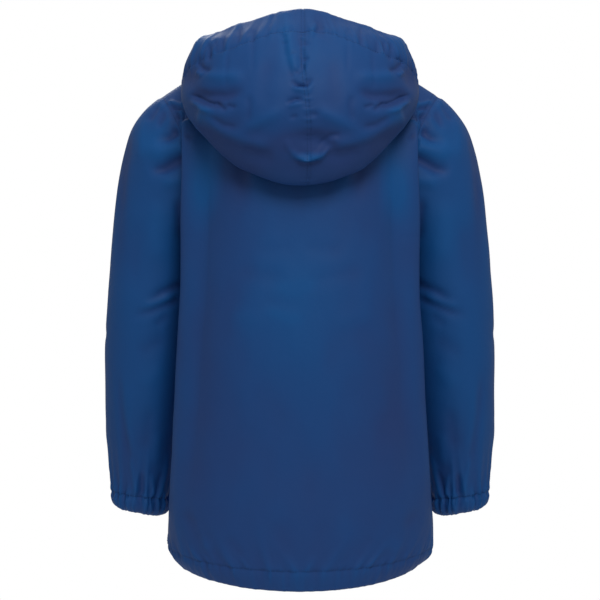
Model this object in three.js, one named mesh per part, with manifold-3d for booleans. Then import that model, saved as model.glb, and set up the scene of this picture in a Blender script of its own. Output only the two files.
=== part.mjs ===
// A child's hooded raincoat in thin woven cloth, in the shape it has when it is worn, with no wearer.
// The hood is down and hangs behind the neck as a pouch. Millimetres, +Z up, the front towards -Y.
// The origin is the middle of the neck opening, level with the neck ends of the shoulder seams.
import * as THREE from "three";
import Module from "manifold-3d";

// Cloth and seams
const WALL = 1.6;
const SEAM_GAP = 0.3;
const LONGEST_MITRE = 2.2;
const QUARTER = Math.PI / 2;

// Neck opening
const NECK_HALF_WIDTH = 68;
const NECK_BACK_DEPTH = 52;
const NECK_BACK_DROP = 8;
const NECK_FRONT_DEPTH = 79;
const NECK_FRONT_DROP = 55;

// Columns in half a body panel: the first ones end at the neck, the others at the shoulder seam
const NECK_COLUMNS = 7;
const SHOULDER_COLUMNS = 6;
const HALF_COLUMNS = NECK_COLUMNS + SHOULDER_COLUMNS;
const SHOULDER_ARCH = 4;
const ARMHOLE_ROWS = 12;
const SKIRT_ROWS = 9;

// Zip
const ZIP_EDGE = 4.5;
const CHAIN_HALF_WIDTH = 3;
const CHAIN_DEPTHS = { front: 0.5, back: 3 };
const TAPE_WIDTH = 12;
const TAPE_DEPTHS = { front: WALL + SEAM_GAP + 0.2, back: 3 };
const SLIDER_BELOW_TOP = 14;
const SLIDER = {
  width: 8, length: 11, plate: 1, clear: 0.3, post: 2.6,
  lug: 0.9, lugGap: 3.6, lugFront: -4.7, lugHalf: 1.6, pin: 0.55, pinY: -3.4,
};
const TAB = { width: 5.4, neck: 3, length: 24, thick: 1.3, eye: 0.95, eyeRim: 1.75 };
const BOX = { width: 5.8, length: 7, front: 0.2, back: 3.2 };

// Gathers: one at each column, as high as these at the elastic. Reaches are in panel heights at the
// hem and in table rows at the cuff, and a casing row counts as the given panel height.
const CUFF_GATHER = { height: 2.0, reach: 0.9 };
const HEM_GATHER = { height: 1.1, reach: 0.07, casingRow: 0.1 };
const HOOD_GATHER = 0.9;

// Half the body in level sections, from the armpit down to the hem. The sides and the middles of the
// back and the front are points on the cloth, with a curve's handles (full, wide and fold) between
// them. roll is how far the loose cloth behind the arm stands out.
const BODY = [
  { sideX: 112, sideY: 0, sideZ: -195, backY: 112, backZ: -195, backFull: 80, wideX: 118, wideY: 86,
    frontY: -110, frontZ: -195, frontFull: 66, foldX: 90, foldY: -36, roll: 16 },
  { sideX: 113, sideY: 0, sideZ: -252, backY: 114, backZ: -254, backFull: 80, wideX: 122, wideY: 86,
    frontY: -113, frontZ: -252, frontFull: 70, foldX: 95, foldY: -38, roll: 14 },
  { sideX: 116, sideY: 0, sideZ: -308, backY: 113, backZ: -310, backFull: 82, wideX: 132, wideY: 84,
    frontY: -114, frontZ: -308, frontFull: 72, foldX: 102, foldY: -40, roll: 12 },
  { sideX: 120, sideY: 0, sideZ: -364, backY: 111, backZ: -368, backFull: 84, wideX: 138, wideY: 80,
    frontY: -114, frontZ: -364, frontFull: 74, foldX: 108, foldY: -42, roll: 10 },
  { sideX: 126, sideY: 0, sideZ: -420, backY: 110, backZ: -426, backFull: 86, wideX: 145, wideY: 76,
    frontY: -114, frontZ: -420, frontFull: 76, foldX: 118, foldY: -44, roll: 7 },
  { sideX: 136, sideY: 0, sideZ: -474, backY: 110, backZ: -482, backFull: 88, wideX: 152, wideY: 70,
    frontY: -114, frontZ: -475, frontFull: 78, foldX: 134, foldY: -52, roll: 2 },
  { sideX: 140, sideY: 0, sideZ: -523, backY: 107, backZ: -536, backFull: 88, wideX: 146, wideY: 66,
    frontY: -111, frontZ: -524, frontFull: 78, foldX: 139, foldY: -58, roll: 0 },
  { sideX: 128, sideY: 0, sideZ: -541, backY: 103, backZ: -556, backFull: 84, wideX: 132, wideY: 66,
    frontY: -107, frontZ: -543, frontFull: 76, foldX: 126, foldY: -56, roll: 0 },
];
const CASING_ROW = BODY.length - 2;

// The middle of the back and of the front above the armpit, by height. The neck seam comes next.
const BACK_RISE = [
  { z: -195, y: 112 },
  { z: -140, y: 110 },
  { z: -90, y: 101 },
  { z: -45, y: 80 },
];
const FRONT_RISE = [
  { z: -195, y: -110 },
  { z: -160, y: -109 },
  { z: -125, y: -103 },
  { z: -90, y: -92 },
];

// A sleeve in sections from the armhole down. out is the point furthest from the body, in the one
// nearest it. hollow draws the armhole in towards the neck between them.
const SLEEVE = [
  { outX: 149, outZ: -43, inX: 112, inZ: -195, midY: 0, depth: 52, hollow: 16 },
  { outX: 166, outZ: -57, inX: 114.4, inZ: -197.6, midY: -1, depth: 51, hollow: 9 },
  { outX: 181, outZ: -78, inX: 116, inZ: -203, midY: -2, depth: 50, hollow: 3 },
  { outX: 189, outZ: -101, inX: 117.5, inZ: -210, midY: -4, depth: 49, hollow: 1 },
  { outX: 195, outZ: -130, inX: 118.5, inZ: -221, midY: -6, depth: 48, hollow: 0 },
  { outX: 200, outZ: -165, inX: 119.5, inZ: -237, midY: -8, depth: 47, hollow: 0 },
  { outX: 205, outZ: -208, inX: 120.5, inZ: -259, midY: -11, depth: 46, hollow: 0 },
  { outX: 209, outZ: -255, inX: 122.5, inZ: -289, midY: -14, depth: 45, hollow: 0 },
  { outX: 212, outZ: -304, inX: 125.5, inZ: -325, midY: -19, depth: 44, hollow: 0 },
  { outX: 213, outZ: -352, inX: 129.5, inZ: -363, midY: -25, depth: 43, hollow: 0 },
  { outX: 213, outZ: -394, inX: 134.5, inZ: -400, midY: -32, depth: 40, hollow: 0 },
  { outX: 209.5, outZ: -432, inX: 141, inZ: -438, midY: -38, depth: 36, hollow: 0 },
  { outX: 206, outZ: -472, inX: 148, inZ: -480, midY: -42, depth: 30, hollow: 0 },
  { outX: 204, outZ: -491, inX: 150.5, inZ: -500, midY: -44, depth: 28, hollow: 0 },
];
const CUFF_ROW = SLEEVE.length - 2;
const SLEEVE_ROUND = 2 * ARMHOLE_ROWS;

// The hood by compass angle, 0 at the middle of the back and 180 at the middle of the front. Each row
// is its profile out from the neck seam: over the shoulders, down to the pouch's low point, out to its
// widest, and up to the edge of the face opening. Radii are from the neck's upright middle line.
// lift is how high the cloth stands up off the shoulders before it turns over.
const HOOD = [
  { angle: 0, lift: 12, innerR: 112, innerZ: -62, lowR: 131, lowZ: -147,
    wideR: 170, wideZ: -84, highR: 156, highZ: -14, rimR: 116, rimZ: 31 },
  { angle: 26, lift: 15, innerR: 114, innerZ: -58, lowR: 134, lowZ: -131,
    wideR: 170, wideZ: -78, highR: 156, highZ: -14, rimR: 121, rimZ: 20 },
  { angle: 46, lift: 16, innerR: 114, innerZ: -46, lowR: 139, lowZ: -90,
    wideR: 159, wideZ: -58, highR: 150, highZ: -14, rimR: 130, rimZ: 8 },
  { angle: 64, lift: 15, innerR: 106, innerZ: -28, lowR: 127, lowZ: -58,
    wideR: 137, wideZ: -42, highR: 132, highZ: -20, rimR: 119, rimZ: 4 },
  { angle: 90, lift: 14, innerR: 84, innerZ: 0, lowR: 104, lowZ: -9,
    wideR: 112, wideZ: -4, highR: 110, highZ: 5, rimR: 101, rimZ: 12 },
  { angle: 120, lift: 8, innerR: 82, innerZ: -4, lowR: 91, lowZ: -2,
    wideR: 96, wideZ: 4, highR: 97, highZ: 10, rimR: 94, rimZ: 16 },
  { angle: 150, lift: 2, innerR: 80, innerZ: -32, lowR: 84, lowZ: -23,
    wideR: 88, wideZ: -14, highR: 90, highZ: -4, rimR: 89, rimZ: 8 },
  { angle: 180, lift: 0, innerR: 81, innerZ: -46, lowR: 83, lowZ: -38,
    wideR: 85, wideZ: -29, highR: 86.5, highZ: -19, rimR: 87, rimZ: -6 },
];
const HOOD_LEGS = ["neck", "inner", "low", "wide", "high", "rim"];
const HOOD_STEPS = [3, 3, 3, 3, 3];
const HOOD_CASING_STEPS = 2;

// Finishes
const CLOTH = new THREE.MeshStandardMaterial({ color: 0x1f4a82, roughness: 0.55, metalness: 0 });
const TAPE = new THREE.MeshStandardMaterial({ color: 0x1b3f70, roughness: 0.8, metalness: 0 });
const COIL = new THREE.MeshStandardMaterial({ color: 0x1d4478, roughness: 0.45, metalness: 0 });
const METAL = new THREE.MeshStandardMaterial({ color: 0x24497c, roughness: 0.35, metalness: 0.6 });

const point = (x, y, z) => new THREE.Vector3(x, y, z);
const mix = (a, b, t) => a.clone().lerp(b, t);
const clamp = (x, low, high) => Math.min(Math.max(x, low), high);
const ease = (x) => x * x * (3 - 2 * x);
const range = (count) => Array.from({ length: count }, (_, i) => i);

// A smooth number through four, between the middle two
function through(a, b, c, d, t) {
  return b + 0.5 * t * (c - a + t * (2 * a - 5 * b + 4 * c - d + t * (3 * (b - c) + d - a)));
}

// All the columns of a table at a place between its rows
function rowAt(table, place) {
  const i = clamp(Math.floor(place), 0, table.length - 2);
  const before = table[i - 1] ?? null;
  const after = table[i + 2] ?? null;
  const [b, c] = [table[i], table[i + 1]];
  const found = {};
  for (const key of Object.keys(b)) {
    const a = before ? before[key] : 2 * b[key] - c[key];
    const d = after ? after[key] : 2 * c[key] - b[key];
    found[key] = through(a, b[key], c[key], d, place - i);
  }
  return found;
}

// The place in a table where a column that runs one way has a value
function placeOf(table, key, value) {
  const rising = table[table.length - 1][key] > table[0][key];
  const passed = table.filter((row) => (rising ? row[key] <= value : row[key] >= value)).length;
  const i = clamp(passed - 1, 0, table.length - 2);
  return i + (value - table[i][key]) / (table[i + 1][key] - table[i][key]);
}

function bezier(p, t) {
  const s = 1 - t;
  return p[0] * s * s * s + 3 * p[1] * s * s * t + 3 * p[2] * s * t * t + p[3] * t * t * t;
}

// The neck seam at an angle, 0 at the middle of the back
function neck(angle) {
  const c = Math.cos(angle);
  const x = NECK_HALF_WIDTH * Math.sin(angle);
  return c >= 0
    ? point(x, NECK_BACK_DEPTH * c, -NECK_BACK_DROP * c * c)
    : point(x, NECK_FRONT_DEPTH * c, -NECK_FRONT_DROP * Math.pow(-c, 1.5));
}

const NECK_FRONT_ANGLE = Math.PI - Math.asin(ZIP_EDGE / NECK_HALF_WIDTH);

// A point of the sleeve: around from its top, 90 degrees at the back, and along in table rows
function sleevePoint(around, along) {
  const s = rowAt(SLEEVE, along);
  const c = (1 + Math.cos(around)) / 2;
  const w = Math.sin(around);
  return point(
    s.inX + (s.outX - s.inX) * c - s.hollow * w * w,
    s.midY + s.depth * w,
    s.inZ + (s.outZ - s.inZ) * c,
  );
}

// Loose cloth that stands out in a soft vertical fold behind the arm, and dies out up the yoke
const ROLL = { from: 0.54, to: 0.93, out: 1, back: 0.5, fadeFrom: 0.55, fadeOver: 0.35 };

function rolled(v, across, size) {
  const share = clamp((across - ROLL.from) / (ROLL.to - ROLL.from), 0, 1);
  const bump = size * Math.pow(Math.sin(Math.PI * share), 2);
  return v.add(point(ROLL.out * bump, ROLL.back * bump, 0));
}

// The curve from the middle of the back or front (0) to the side seam (1) at a place in the table
function skirtPoint(isBack, across, place) {
  const r = rowAt(BODY, place);
  const x = isBack ? [0, r.backFull, r.wideX, r.sideX] : [ZIP_EDGE, r.frontFull, r.foldX, r.sideX];
  const y = isBack ? [r.backY, r.backY + 2, r.wideY, r.sideY] : [r.frontY, r.frontY - 2, r.foldY, r.sideY];
  const z = isBack ? [r.backZ, r.backZ, r.sideZ, r.sideZ] : [r.frontZ, r.frontZ, r.sideZ, r.sideZ];
  const found = point(bezier(x, across), bezier(y, across), bezier(z, across));
  return isBack ? rolled(found, across, r.roll) : found;
}

// The panel's top edge: the neck seam, then the shoulder seam
function topPoint(isBack, across) {
  const turn = NECK_COLUMNS / HALF_COLUMNS;
  if (across <= turn) {
    const share = across / turn;
    const start = isBack ? 0 : NECK_FRONT_ANGLE;
    return neck(start + (QUARTER - start) * share);
  }
  const share = (across - turn) / (1 - turn);
  const shoulder = mix(neck(QUARTER), sleevePoint(0, 0), share);
  shoulder.z += SHOULDER_ARCH * Math.sin(Math.PI * share);
  return shoulder;
}

// How late the yoke leans in towards the shoulder, and how near the armhole its shape is felt
const YOKE_LEAN = 2.2;
const YOKE_EDGE = { back: 3, front: 2, armpit: 6 };

// The yoke between the armpit (0) and the top edge (1): a patch between its four edges
function yokePoint(isBack, across, up) {
  const level = (1 - Math.cos(Math.PI * up)) / 2;
  const seam = topPoint(isBack, 0);
  const rise = [...(isBack ? BACK_RISE : FRONT_RISE), { z: seam.z, y: seam.y }];
  const z = rise[0].z + (rise[rise.length - 1].z - rise[0].z) * level;
  const y = rowAt(rise, placeOf(rise, "z", z)).y;
  const middle = point(isBack ? 0 : ZIP_EDGE, y, z);
  const around = isBack ? Math.PI * (1 - up) : Math.PI * (1 + up);
  const armhole = sleevePoint(around, 0);
  const low = skirtPoint(isBack, across, 0);
  const top = topPoint(isBack, across);
  const blend = (from, to) => {
    const leaning = mix(from, to, Math.pow(level, YOKE_LEAN));
    return leaning.setZ(from.z + (to.z - from.z) * level);
  };
  const nearness = (isBack ? YOKE_EDGE.back : YOKE_EDGE.front) + YOKE_EDGE.armpit * Math.pow(1 - level, 4);
  const edges = Math.pow(across, nearness);
  const found = blend(low, top);
  found.add(middle.sub(blend(skirtPoint(isBack, 0, 0), seam)).multiplyScalar(1 - edges));
  found.add(armhole.sub(blend(skirtPoint(isBack, 1, 0), topPoint(isBack, 1))).multiplyScalar(edges));
  if (!isBack) return found;
  const faded = BODY[0].roll * (1 - ease(clamp((up - ROLL.fadeFrom) / ROLL.fadeOver, 0, 1)));
  return rolled(found, across, faded - BODY[0].roll * (1 - Math.pow(level, YOKE_LEAN)));
}

// Height on a panel: 0 to 1 from the casing seam to the armpit, 1 to 2 up to the top edge
function panelPoint(isBack, across, height) {
  if (height >= 1) return yokePoint(isBack, across, height - 1);
  return skirtPoint(isBack, across, CASING_ROW * (1 - height));
}

// The hood's profile at a compass angle, as corner points out from the neck seam
function hoodProfile(angle) {
  const seam = neck(angle);
  const compass = Math.atan2(seam.x, seam.y);
  const row = rowAt(HOOD, placeOf(HOOD, "angle", THREE.MathUtils.radToDeg(compass)));
  row.neckR = Math.hypot(seam.x, seam.y);
  row.neckZ = seam.z;
  const corners = HOOD_LEGS.map((leg) => ({ r: row[leg + "R"], z: row[leg + "Z"] }));
  return { compass, corners, lift: row.lift };
}

// A point of the hood: by neck angle, and by place along the profile's legs
function hoodPoint(angle, place) {
  const { compass, corners, lift } = hoodProfile(angle);
  const { r, z } = rowAt(corners, place);
  const standing = lift * Math.pow(Math.sin(Math.PI * Math.min(place, 1)), 2);
  return point(r * Math.sin(compass), r * Math.cos(compass), z + standing);
}

// The neck seam's columns in half the coat, from the back to the front
function neckAngle(column) {
  if (column <= NECK_COLUMNS) return (QUARTER * column) / NECK_COLUMNS;
  return QUARTER + ((NECK_FRONT_ANGLE - QUARTER) * (column - NECK_COLUMNS)) / NECK_COLUMNS;
}

// A grid of points on a surface, kept with the surface so that finer points can be added later
function panel(name, columns, places, surface, options = {}) {
  const count = options.closed ? columns : columns + 1;
  const rows = places.map((place) => range(count).map((i) => surface(i, place)));
  return { name, columns, places, surface, rows, closed: false, wall: WALL, ...options };
}

const places = (count, from, to) => range(count + 1).map((i) => from + ((to - from) * i) / count);

function hoodPlaces() {
  const found = [0];
  HOOD_STEPS.forEach((steps, leg) => found.push(...places(steps, leg, leg + 1).slice(1)));
  return found;
}

const HOOD_PLACES = hoodPlaces();
const HOOD_SEAM = HOOD_PLACES[HOOD_PLACES.length - 1 - HOOD_CASING_STEPS];
const BODY_PLACES = [...places(SKIRT_ROWS, 0, 1), ...places(ARMHOLE_ROWS, 1, 2).slice(1)];

// Gathers at a column of a panel: a ridge in the middle of each, none at the seams between them
const ridge = (column) => Math.pow(Math.sin(Math.PI * column), 2);

// The hem's gathers by panel height from the casing seam
function hemRaise(height) {
  return (column) => HEM_GATHER.height * ridge(column) * Math.exp(-Math.abs(height) / HEM_GATHER.reach);
}

const hemCasingRaise = (place) => hemRaise((CASING_ROW - place) * HEM_GATHER.casingRow);

function cuffRaise(along) {
  const away = Math.max(CUFF_ROW - along, 0);
  return (column) => CUFF_GATHER.height * ridge(column) * Math.exp(-away / CUFF_GATHER.reach);
}

function coatHalf() {
  const bodyColumn = (isBack) => (column, height) => panelPoint(isBack, column / HALF_COLUMNS, height);
  const casing = (isBack) => (column, place) => skirtPoint(isBack, column / HALF_COLUMNS, place);
  const casingPlaces = places(2, BODY.length - 1, CASING_ROW);
  const round = (column, along) => sleevePoint((2 * Math.PI * column) / SLEEVE_ROUND, along);
  const hood = (column, place) => hoodPoint(neckAngle(column), place);
  const casingStart = HOOD_PLACES.indexOf(HOOD_SEAM);
  const hoodGather = (place) => (column) => (place > HOOD_SEAM + 0.1 ? 0 : HOOD_GATHER * ridge(column));
  return [
    panel("front_left", HALF_COLUMNS, BODY_PLACES, bodyColumn(false),
      { outward: 1, fine: 2, fineRows: [0, 1], raise: hemRaise, seams: ["first", "last", "right"] }),
    panel("hem_front_left", HALF_COLUMNS, casingPlaces, casing(false),
      { outward: 1, fine: 2, fineRows: [0, 1, 2], raise: hemCasingRaise,
        seams: ["last", "left", "right"] }),
    panel("sleeve_left", SLEEVE_ROUND, places(CUFF_ROW, 0, CUFF_ROW), round,
      { outward: -1, closed: true, swapped: "early", fine: 3, fineRows: [9, 10, 11, 12], raise: cuffRaise,
        seams: ["first", "last"] }),
    panel("cuff_left", SLEEVE_ROUND, places(2, CUFF_ROW, CUFF_ROW + 1), round,
      { outward: -1, closed: true, fine: 3, fineRows: [0, 1, 2], raise: cuffRaise, seams: ["first"] }),
    panel("hood_left", 2 * NECK_COLUMNS, HOOD_PLACES.slice(0, casingStart + 1), hood,
      { outward: -1, swapped: "late", fine: 2, fineRows: [casingStart], raise: hoodGather,
        seams: ["first", "last", "left"] }),
    panel("hood_casing_left", 2 * NECK_COLUMNS, HOOD_PLACES.slice(casingStart), hood,
      { outward: -1, fine: 2, fineRows: [0, 1, 2], raise: hoodGather, seams: ["first", "left"] }),
  ];
}

const mirrored = (v) => point(-v.x, v.y, v.z);

// The other half's panel: the same surface with left and right exchanged
function mirrorPanel(p) {
  const surface = (column, place) => mirrored(p.surface(column, place));
  return panel(p.name.replace("left", "right"), p.columns, p.places, surface, { ...p, ...{
    name: p.name.replace("left", "right"),
    rows: p.rows.map((row) => row.map(mirrored)),
    surface,
    outward: -p.outward,
  } });
}

// The back is one piece from side to side: column 0 is its right side seam
function backPanels() {
  const whole = (make) => (column, place) => {
    const across = (column - HALF_COLUMNS) / HALF_COLUMNS;
    const found = make(Math.abs(across), place);
    return across < 0 ? mirrored(found) : found;
  };
  return [
    panel("back", 2 * HALF_COLUMNS, BODY_PLACES,
      whole((across, height) => panelPoint(true, across, height)),
      { outward: -1, swapped: "early", fine: 2, fineRows: [0, 1], raise: hemRaise,
        seams: ["first", "last", "left", "right"] }),
    panel("hem_back", 2 * HALF_COLUMNS, places(2, BODY.length - 1, CASING_ROW),
      whole((across, place) => skirtPoint(true, across, place)),
      { outward: -1, swapped: "early", fine: 2, fineRows: [0, 1, 2], raise: hemCasingRaise,
        seams: ["last", "left", "right"] }),
  ];
}

const keyOf = (v) => [v.x, v.y, v.z].map((n) => Math.round(n * 50)).join(",");

// Normals that neighbouring panels share where their points meet, so that walls are mitred at a seam
function sharedNormals(panels) {
  const sums = new Map();
  for (const p of panels) {
    const width = p.rows[0].length;
    for (let j = 0; j + 1 < p.rows.length; j++)
      for (let i = 0; i < p.columns; i++) {
        const next = (i + 1) % width;
        const corners = [p.rows[j][i], p.rows[j][next], p.rows[j + 1][next], p.rows[j + 1][i]];
        const normal = corners[2].clone().sub(corners[0]).cross(corners[3].clone().sub(corners[1]));
        const area = normal.length();
        normal.multiplyScalar(p.outward);
        for (const corner of corners) {
          const key = keyOf(corner);
          if (!sums.has(key)) sums.set(key, { sum: point(0, 0, 0), area: 0 });
          const entry = sums.get(key);
          entry.sum.add(normal);
          entry.area += area;
        }
      }
  }
  return (v) => {
    const { sum, area } = sums.get(keyOf(v));
    const mean = sum.clone().divideScalar(area);
    const length = mean.length();
    return mean.normalize().multiplyScalar(Math.min(1 / Math.max(length, 1e-6), LONGEST_MITRE));
  };
}

// Triangles between two rows of vertices, which may hold different numbers of them. Two walls that
// meet at a seam are split along the same lines, so turned only changes the way they face. What
// swapped says of the early or late half of the columns mirrors the lines there.
function band(a, b, kind, faces, turned = false) {
  const wrap = (row, i) => row[i % row.length];
  const steps = (row) => (kind.closed ? row.length : row.length - 1);
  const [na, nb] = [steps(a), steps(b)];
  let [i, j] = [0, 0];
  while (i < na || j < nb) {
    const ahead = (i + 1) / na - (j + 1) / nb;
    const swapped = kind.swapped === (i + 1 <= na / 2 ? "early" : "late");
    const even = Math.abs(ahead) < 1e-9 && !swapped;
    const onA = j >= nb || (i < na && (even || ahead < -1e-9));
    const [p, r] = [wrap(a, i), wrap(b, j)];
    const q = onA ? wrap(a, i + 1) : wrap(b, j + 1);
    faces.push(p, ...(turned ? [r, q] : [q, r]));
    if (onA) i += 1;
    else j += 1;
  }
}

// A seam point moved into its panel by half the gap, square to the seam between its neighbours
function retreat(v, before, after, inside) {
  const along = after.clone().sub(before).normalize();
  const into = inside.clone().sub(v);
  into.addScaledVector(along, -into.dot(along));
  return v.clone().add(into.setLength(SEAM_GAP / 2));
}

// Moves a panel's seam edges back along the cloth by half the gap
function pullBack(rows, seams, closed) {
  const made = rows.map((row) => row.map((v) => v.clone()));
  const last = rows.length - 1;
  const near = (list, i) =>
    (closed ? list[(i + list.length) % list.length] : list[clamp(i, 0, list.length - 1)]);
  const beside = (row, other, i) => {
    const at = closed ? (i * other.length) / row.length : (i * (other.length - 1)) / (row.length - 1);
    const column = Math.floor(at);
    return mix(other[column], other[(column + 1) % other.length], at - column);
  };
  const pullRow = (j, other) => {
    const row = rows[j];
    made[j] = row.map((v, i) =>
      retreat(v, near(row, i - 1), near(row, i + 1), beside(row, rows[other], i)));
  };
  const pullColumn = (column, other) => {
    const edge = made.map((row) => row.at(column));
    const moved = edge.map((v, j) =>
      retreat(v, edge[Math.max(j - 1, 0)], edge[Math.min(j + 1, last)], made[j].at(other)));
    made.forEach((row, j) => (row[column < 0 ? row.length - 1 : 0] = moved[j]));
  };
  if (seams.includes("first")) pullRow(0, 1);
  if (seams.includes("last")) pullRow(last, last - 1);
  if (seams.includes("left")) pullColumn(0, 1);
  if (seams.includes("right")) pullColumn(-1, -2);
  return made;
}

// A cloth panel as a closed wall: the outer points with their gathers, over a plain inside
function clothWall(p, normalAt) {
  const normals = p.rows.map((row) => row.map(normalAt));
  const inner = p.rows.map((row, j) =>
    row.map((v, i) => v.clone().addScaledVector(normals[j][i], -p.wall)));
  const outer = p.rows.map((row, j) => {
    if (!p.fineRows?.includes(j)) return row.map((v) => v.clone());
    const raise = p.raise(p.places[j]);
    const count = p.closed ? p.columns * p.fine : p.columns * p.fine + 1;
    return range(count).map((k) => {
      const column = k / p.fine;
      const i = Math.floor(column);
      const normal = mix(normals[j][i], normals[j][(i + 1) % row.length], column - i).normalize();
      return p.surface(column, p.places[j]).addScaledVector(normal, raise(column));
    });
  });
  return shell(pullBack(outer, p.seams, p.closed), pullBack(inner, p.seams, p.closed), p);
}

// A closed shell from outer and inner rows of points
function shell(outer, inner, kind) {
  const positions = [];
  const faces = [];
  const place = (rows) => rows.map((row) => row.map((v) => positions.push(v.x, v.y, v.z) / 3 - 1));
  const [o, n] = [place(outer), place(inner)];
  const last = (rows) => rows[rows.length - 1];
  for (let j = 0; j + 1 < o.length; j++) band(o[j], o[j + 1], kind, faces);
  for (let j = 0; j + 1 < n.length; j++) band(n[j], n[j + 1], kind, faces, true);
  band(o[0], n[0], kind, faces, true);
  band(last(o), last(n), kind, faces);
  if (!kind.closed) {
    band(o.map((row) => row[0]), n.map((row) => row[0]), {}, faces);
    band(o.map((row) => last(row)), n.map((row) => last(row)), {}, faces, true);
  }
  if (kind.outward < 0)
    for (let i = 0; i < faces.length; i += 3) [faces[i + 1], faces[i + 2]] = [faces[i + 2], faces[i + 1]];
  const geometry = new THREE.BufferGeometry();
  geometry.setAttribute("position", new THREE.Float32BufferAttribute(positions, 3));
  geometry.setIndex(faces);
  geometry.computeVertexNormals();
  return geometry;
}

// Stations up the zip: the front edge's points and its next column's, with their normals
function zipStations(panels, normalAt) {
  const named = (name) => panels.find((p) => p.name === name);
  const stations = [];
  for (const name of ["hem_front_left", "front_left", "hood_left", "hood_casing_left"]) {
    const p = named(name);
    p.rows.slice(stations.length ? 1 : 0).forEach((row) => {
      const [edge, next] = name.includes("hood") ? [row.at(-1), row.at(-2)] : [row[0], row[1]];
      stations.push({ edge, next, edgeNormal: normalAt(edge), nextNormal: normalAt(next) });
    });
  }
  return stations;
}

// A point of the facet beside the zip, at a distance from the middle and a depth under its face
function besideZip(station, x, depth) {
  const share = (x - station.edge.x) / (station.next.x - station.edge.x);
  const normal = mix(station.edgeNormal, station.nextNormal, share);
  return mix(station.edge, station.next, share).addScaledVector(normal, -depth);
}

// A strip along the zip between two distances from the middle
function zipStrip(stations, from, to, depths) {
  const side = (x, depth) => (station) => {
    const found = besideZip(station, Math.abs(x), depth);
    return point(x < 0 ? -found.x : found.x, found.y, found.z);
  };
  const rows = (depth) => stations.map((station) => [side(from, depth)(station), side(to, depth)(station)]);
  return shell(rows(depths.front), rows(depths.back), { closed: false, outward: 1 });
}

// The zip's middle line at a distance below its top end, with a station there
function stationBelowTop(stations, below) {
  let left = below;
  for (let i = stations.length - 1; i > 0; i--) {
    const [a, b] = [stations[i], stations[i - 1]];
    const step = a.edge.distanceTo(b.edge);
    if (left <= step) {
      const station = {};
      for (const key of Object.keys(a)) station[key] = mix(a[key], b[key], left / step);
      return { station, index: i, along: a.edge.clone().sub(b.edge).setX(0).normalize() };
    }
    left -= step;
  }
  throw new RangeError("below the zip's end");
}

const { Manifold } = await Module().then((wasm) => {
  wasm.setup();
  return wasm;
});

// Hard zip parts are made round the middle line: X across, Y into the coat and Z up along the zip
const block = (x, y, z) =>
  Manifold.cube([x[1] - x[0], y[1] - y[0], z[1] - z[0]]).translate([x[0], y[0], z[0]]);
const rod = (length, radius, y, z) =>
  Manifold.cylinder(length, radius, radius, 16, true).rotate([0, 90, 0]).translate([0, y, z]);

function solidMesh(name, solid, place, material) {
  const { numProp, vertProperties, triVerts } = solid.getMesh();
  const geometry = new THREE.BufferGeometry();
  const positions = range(vertProperties.length / numProp).flatMap((i) =>
    [0, 1, 2].map((k) => vertProperties[i * numProp + k]));
  geometry.setAttribute("position", new THREE.Float32BufferAttribute(positions, 3));
  geometry.setIndex([...triVerts]);
  geometry.computeVertexNormals();
  const made = mesh(name, geometry, material);
  made.applyMatrix4(place);
  return made;
}

const across = (half) => [-half, half];

// Two plates round the chain, a post between them above it, and two lugs that hold the pin
function sliderSolid() {
  const front = [-SLIDER.clear - SLIDER.plate, -SLIDER.clear + 0.4];
  const back = [CHAIN_DEPTHS.back + SEAM_GAP, CHAIN_DEPTHS.back + SEAM_GAP + SLIDER.plate];
  const tall = [-SLIDER.length / 2, SLIDER.length / 2];
  const lug = (x) => block([x, x + SLIDER.lug], [SLIDER.lugFront, front[0] + 0.2], across(SLIDER.lugHalf));
  return Manifold.union([
    block(across(SLIDER.width / 2), front, tall),
    block(across(SLIDER.width / 2), back, tall),
    block(across(SLIDER.post / 2), [front[0], back[1]], [tall[1] - SLIDER.post, tall[1]]),
    lug(SLIDER.lugGap / 2),
    lug(-SLIDER.lugGap / 2 - SLIDER.lug),
    rod(SLIDER.lugGap + 2 * SLIDER.lug, SLIDER.pin, SLIDER.pinY, 0),
  ]);
}

// The tab hangs plumb from an eye round the slider's pin, which is at its origin
function tabSolid() {
  const thick = across(TAB.thick / 2);
  const corner = TAB.width / 2;
  const bottom = Manifold.cylinder(TAB.thick, corner, corner, 24, true).rotate([90, 0, 0])
    .translate([0, 0, corner - TAB.length]);
  return Manifold.union([
    rod(TAB.neck, TAB.eyeRim, 0, 0),
    block(across(TAB.neck / 2), thick, [-5, 0]),
    block(across(TAB.width / 2), thick, [corner - TAB.length, -4]),
    bottom,
  ]).subtract(rod(TAB.width, TAB.eye, 0, 0));
}

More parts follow.
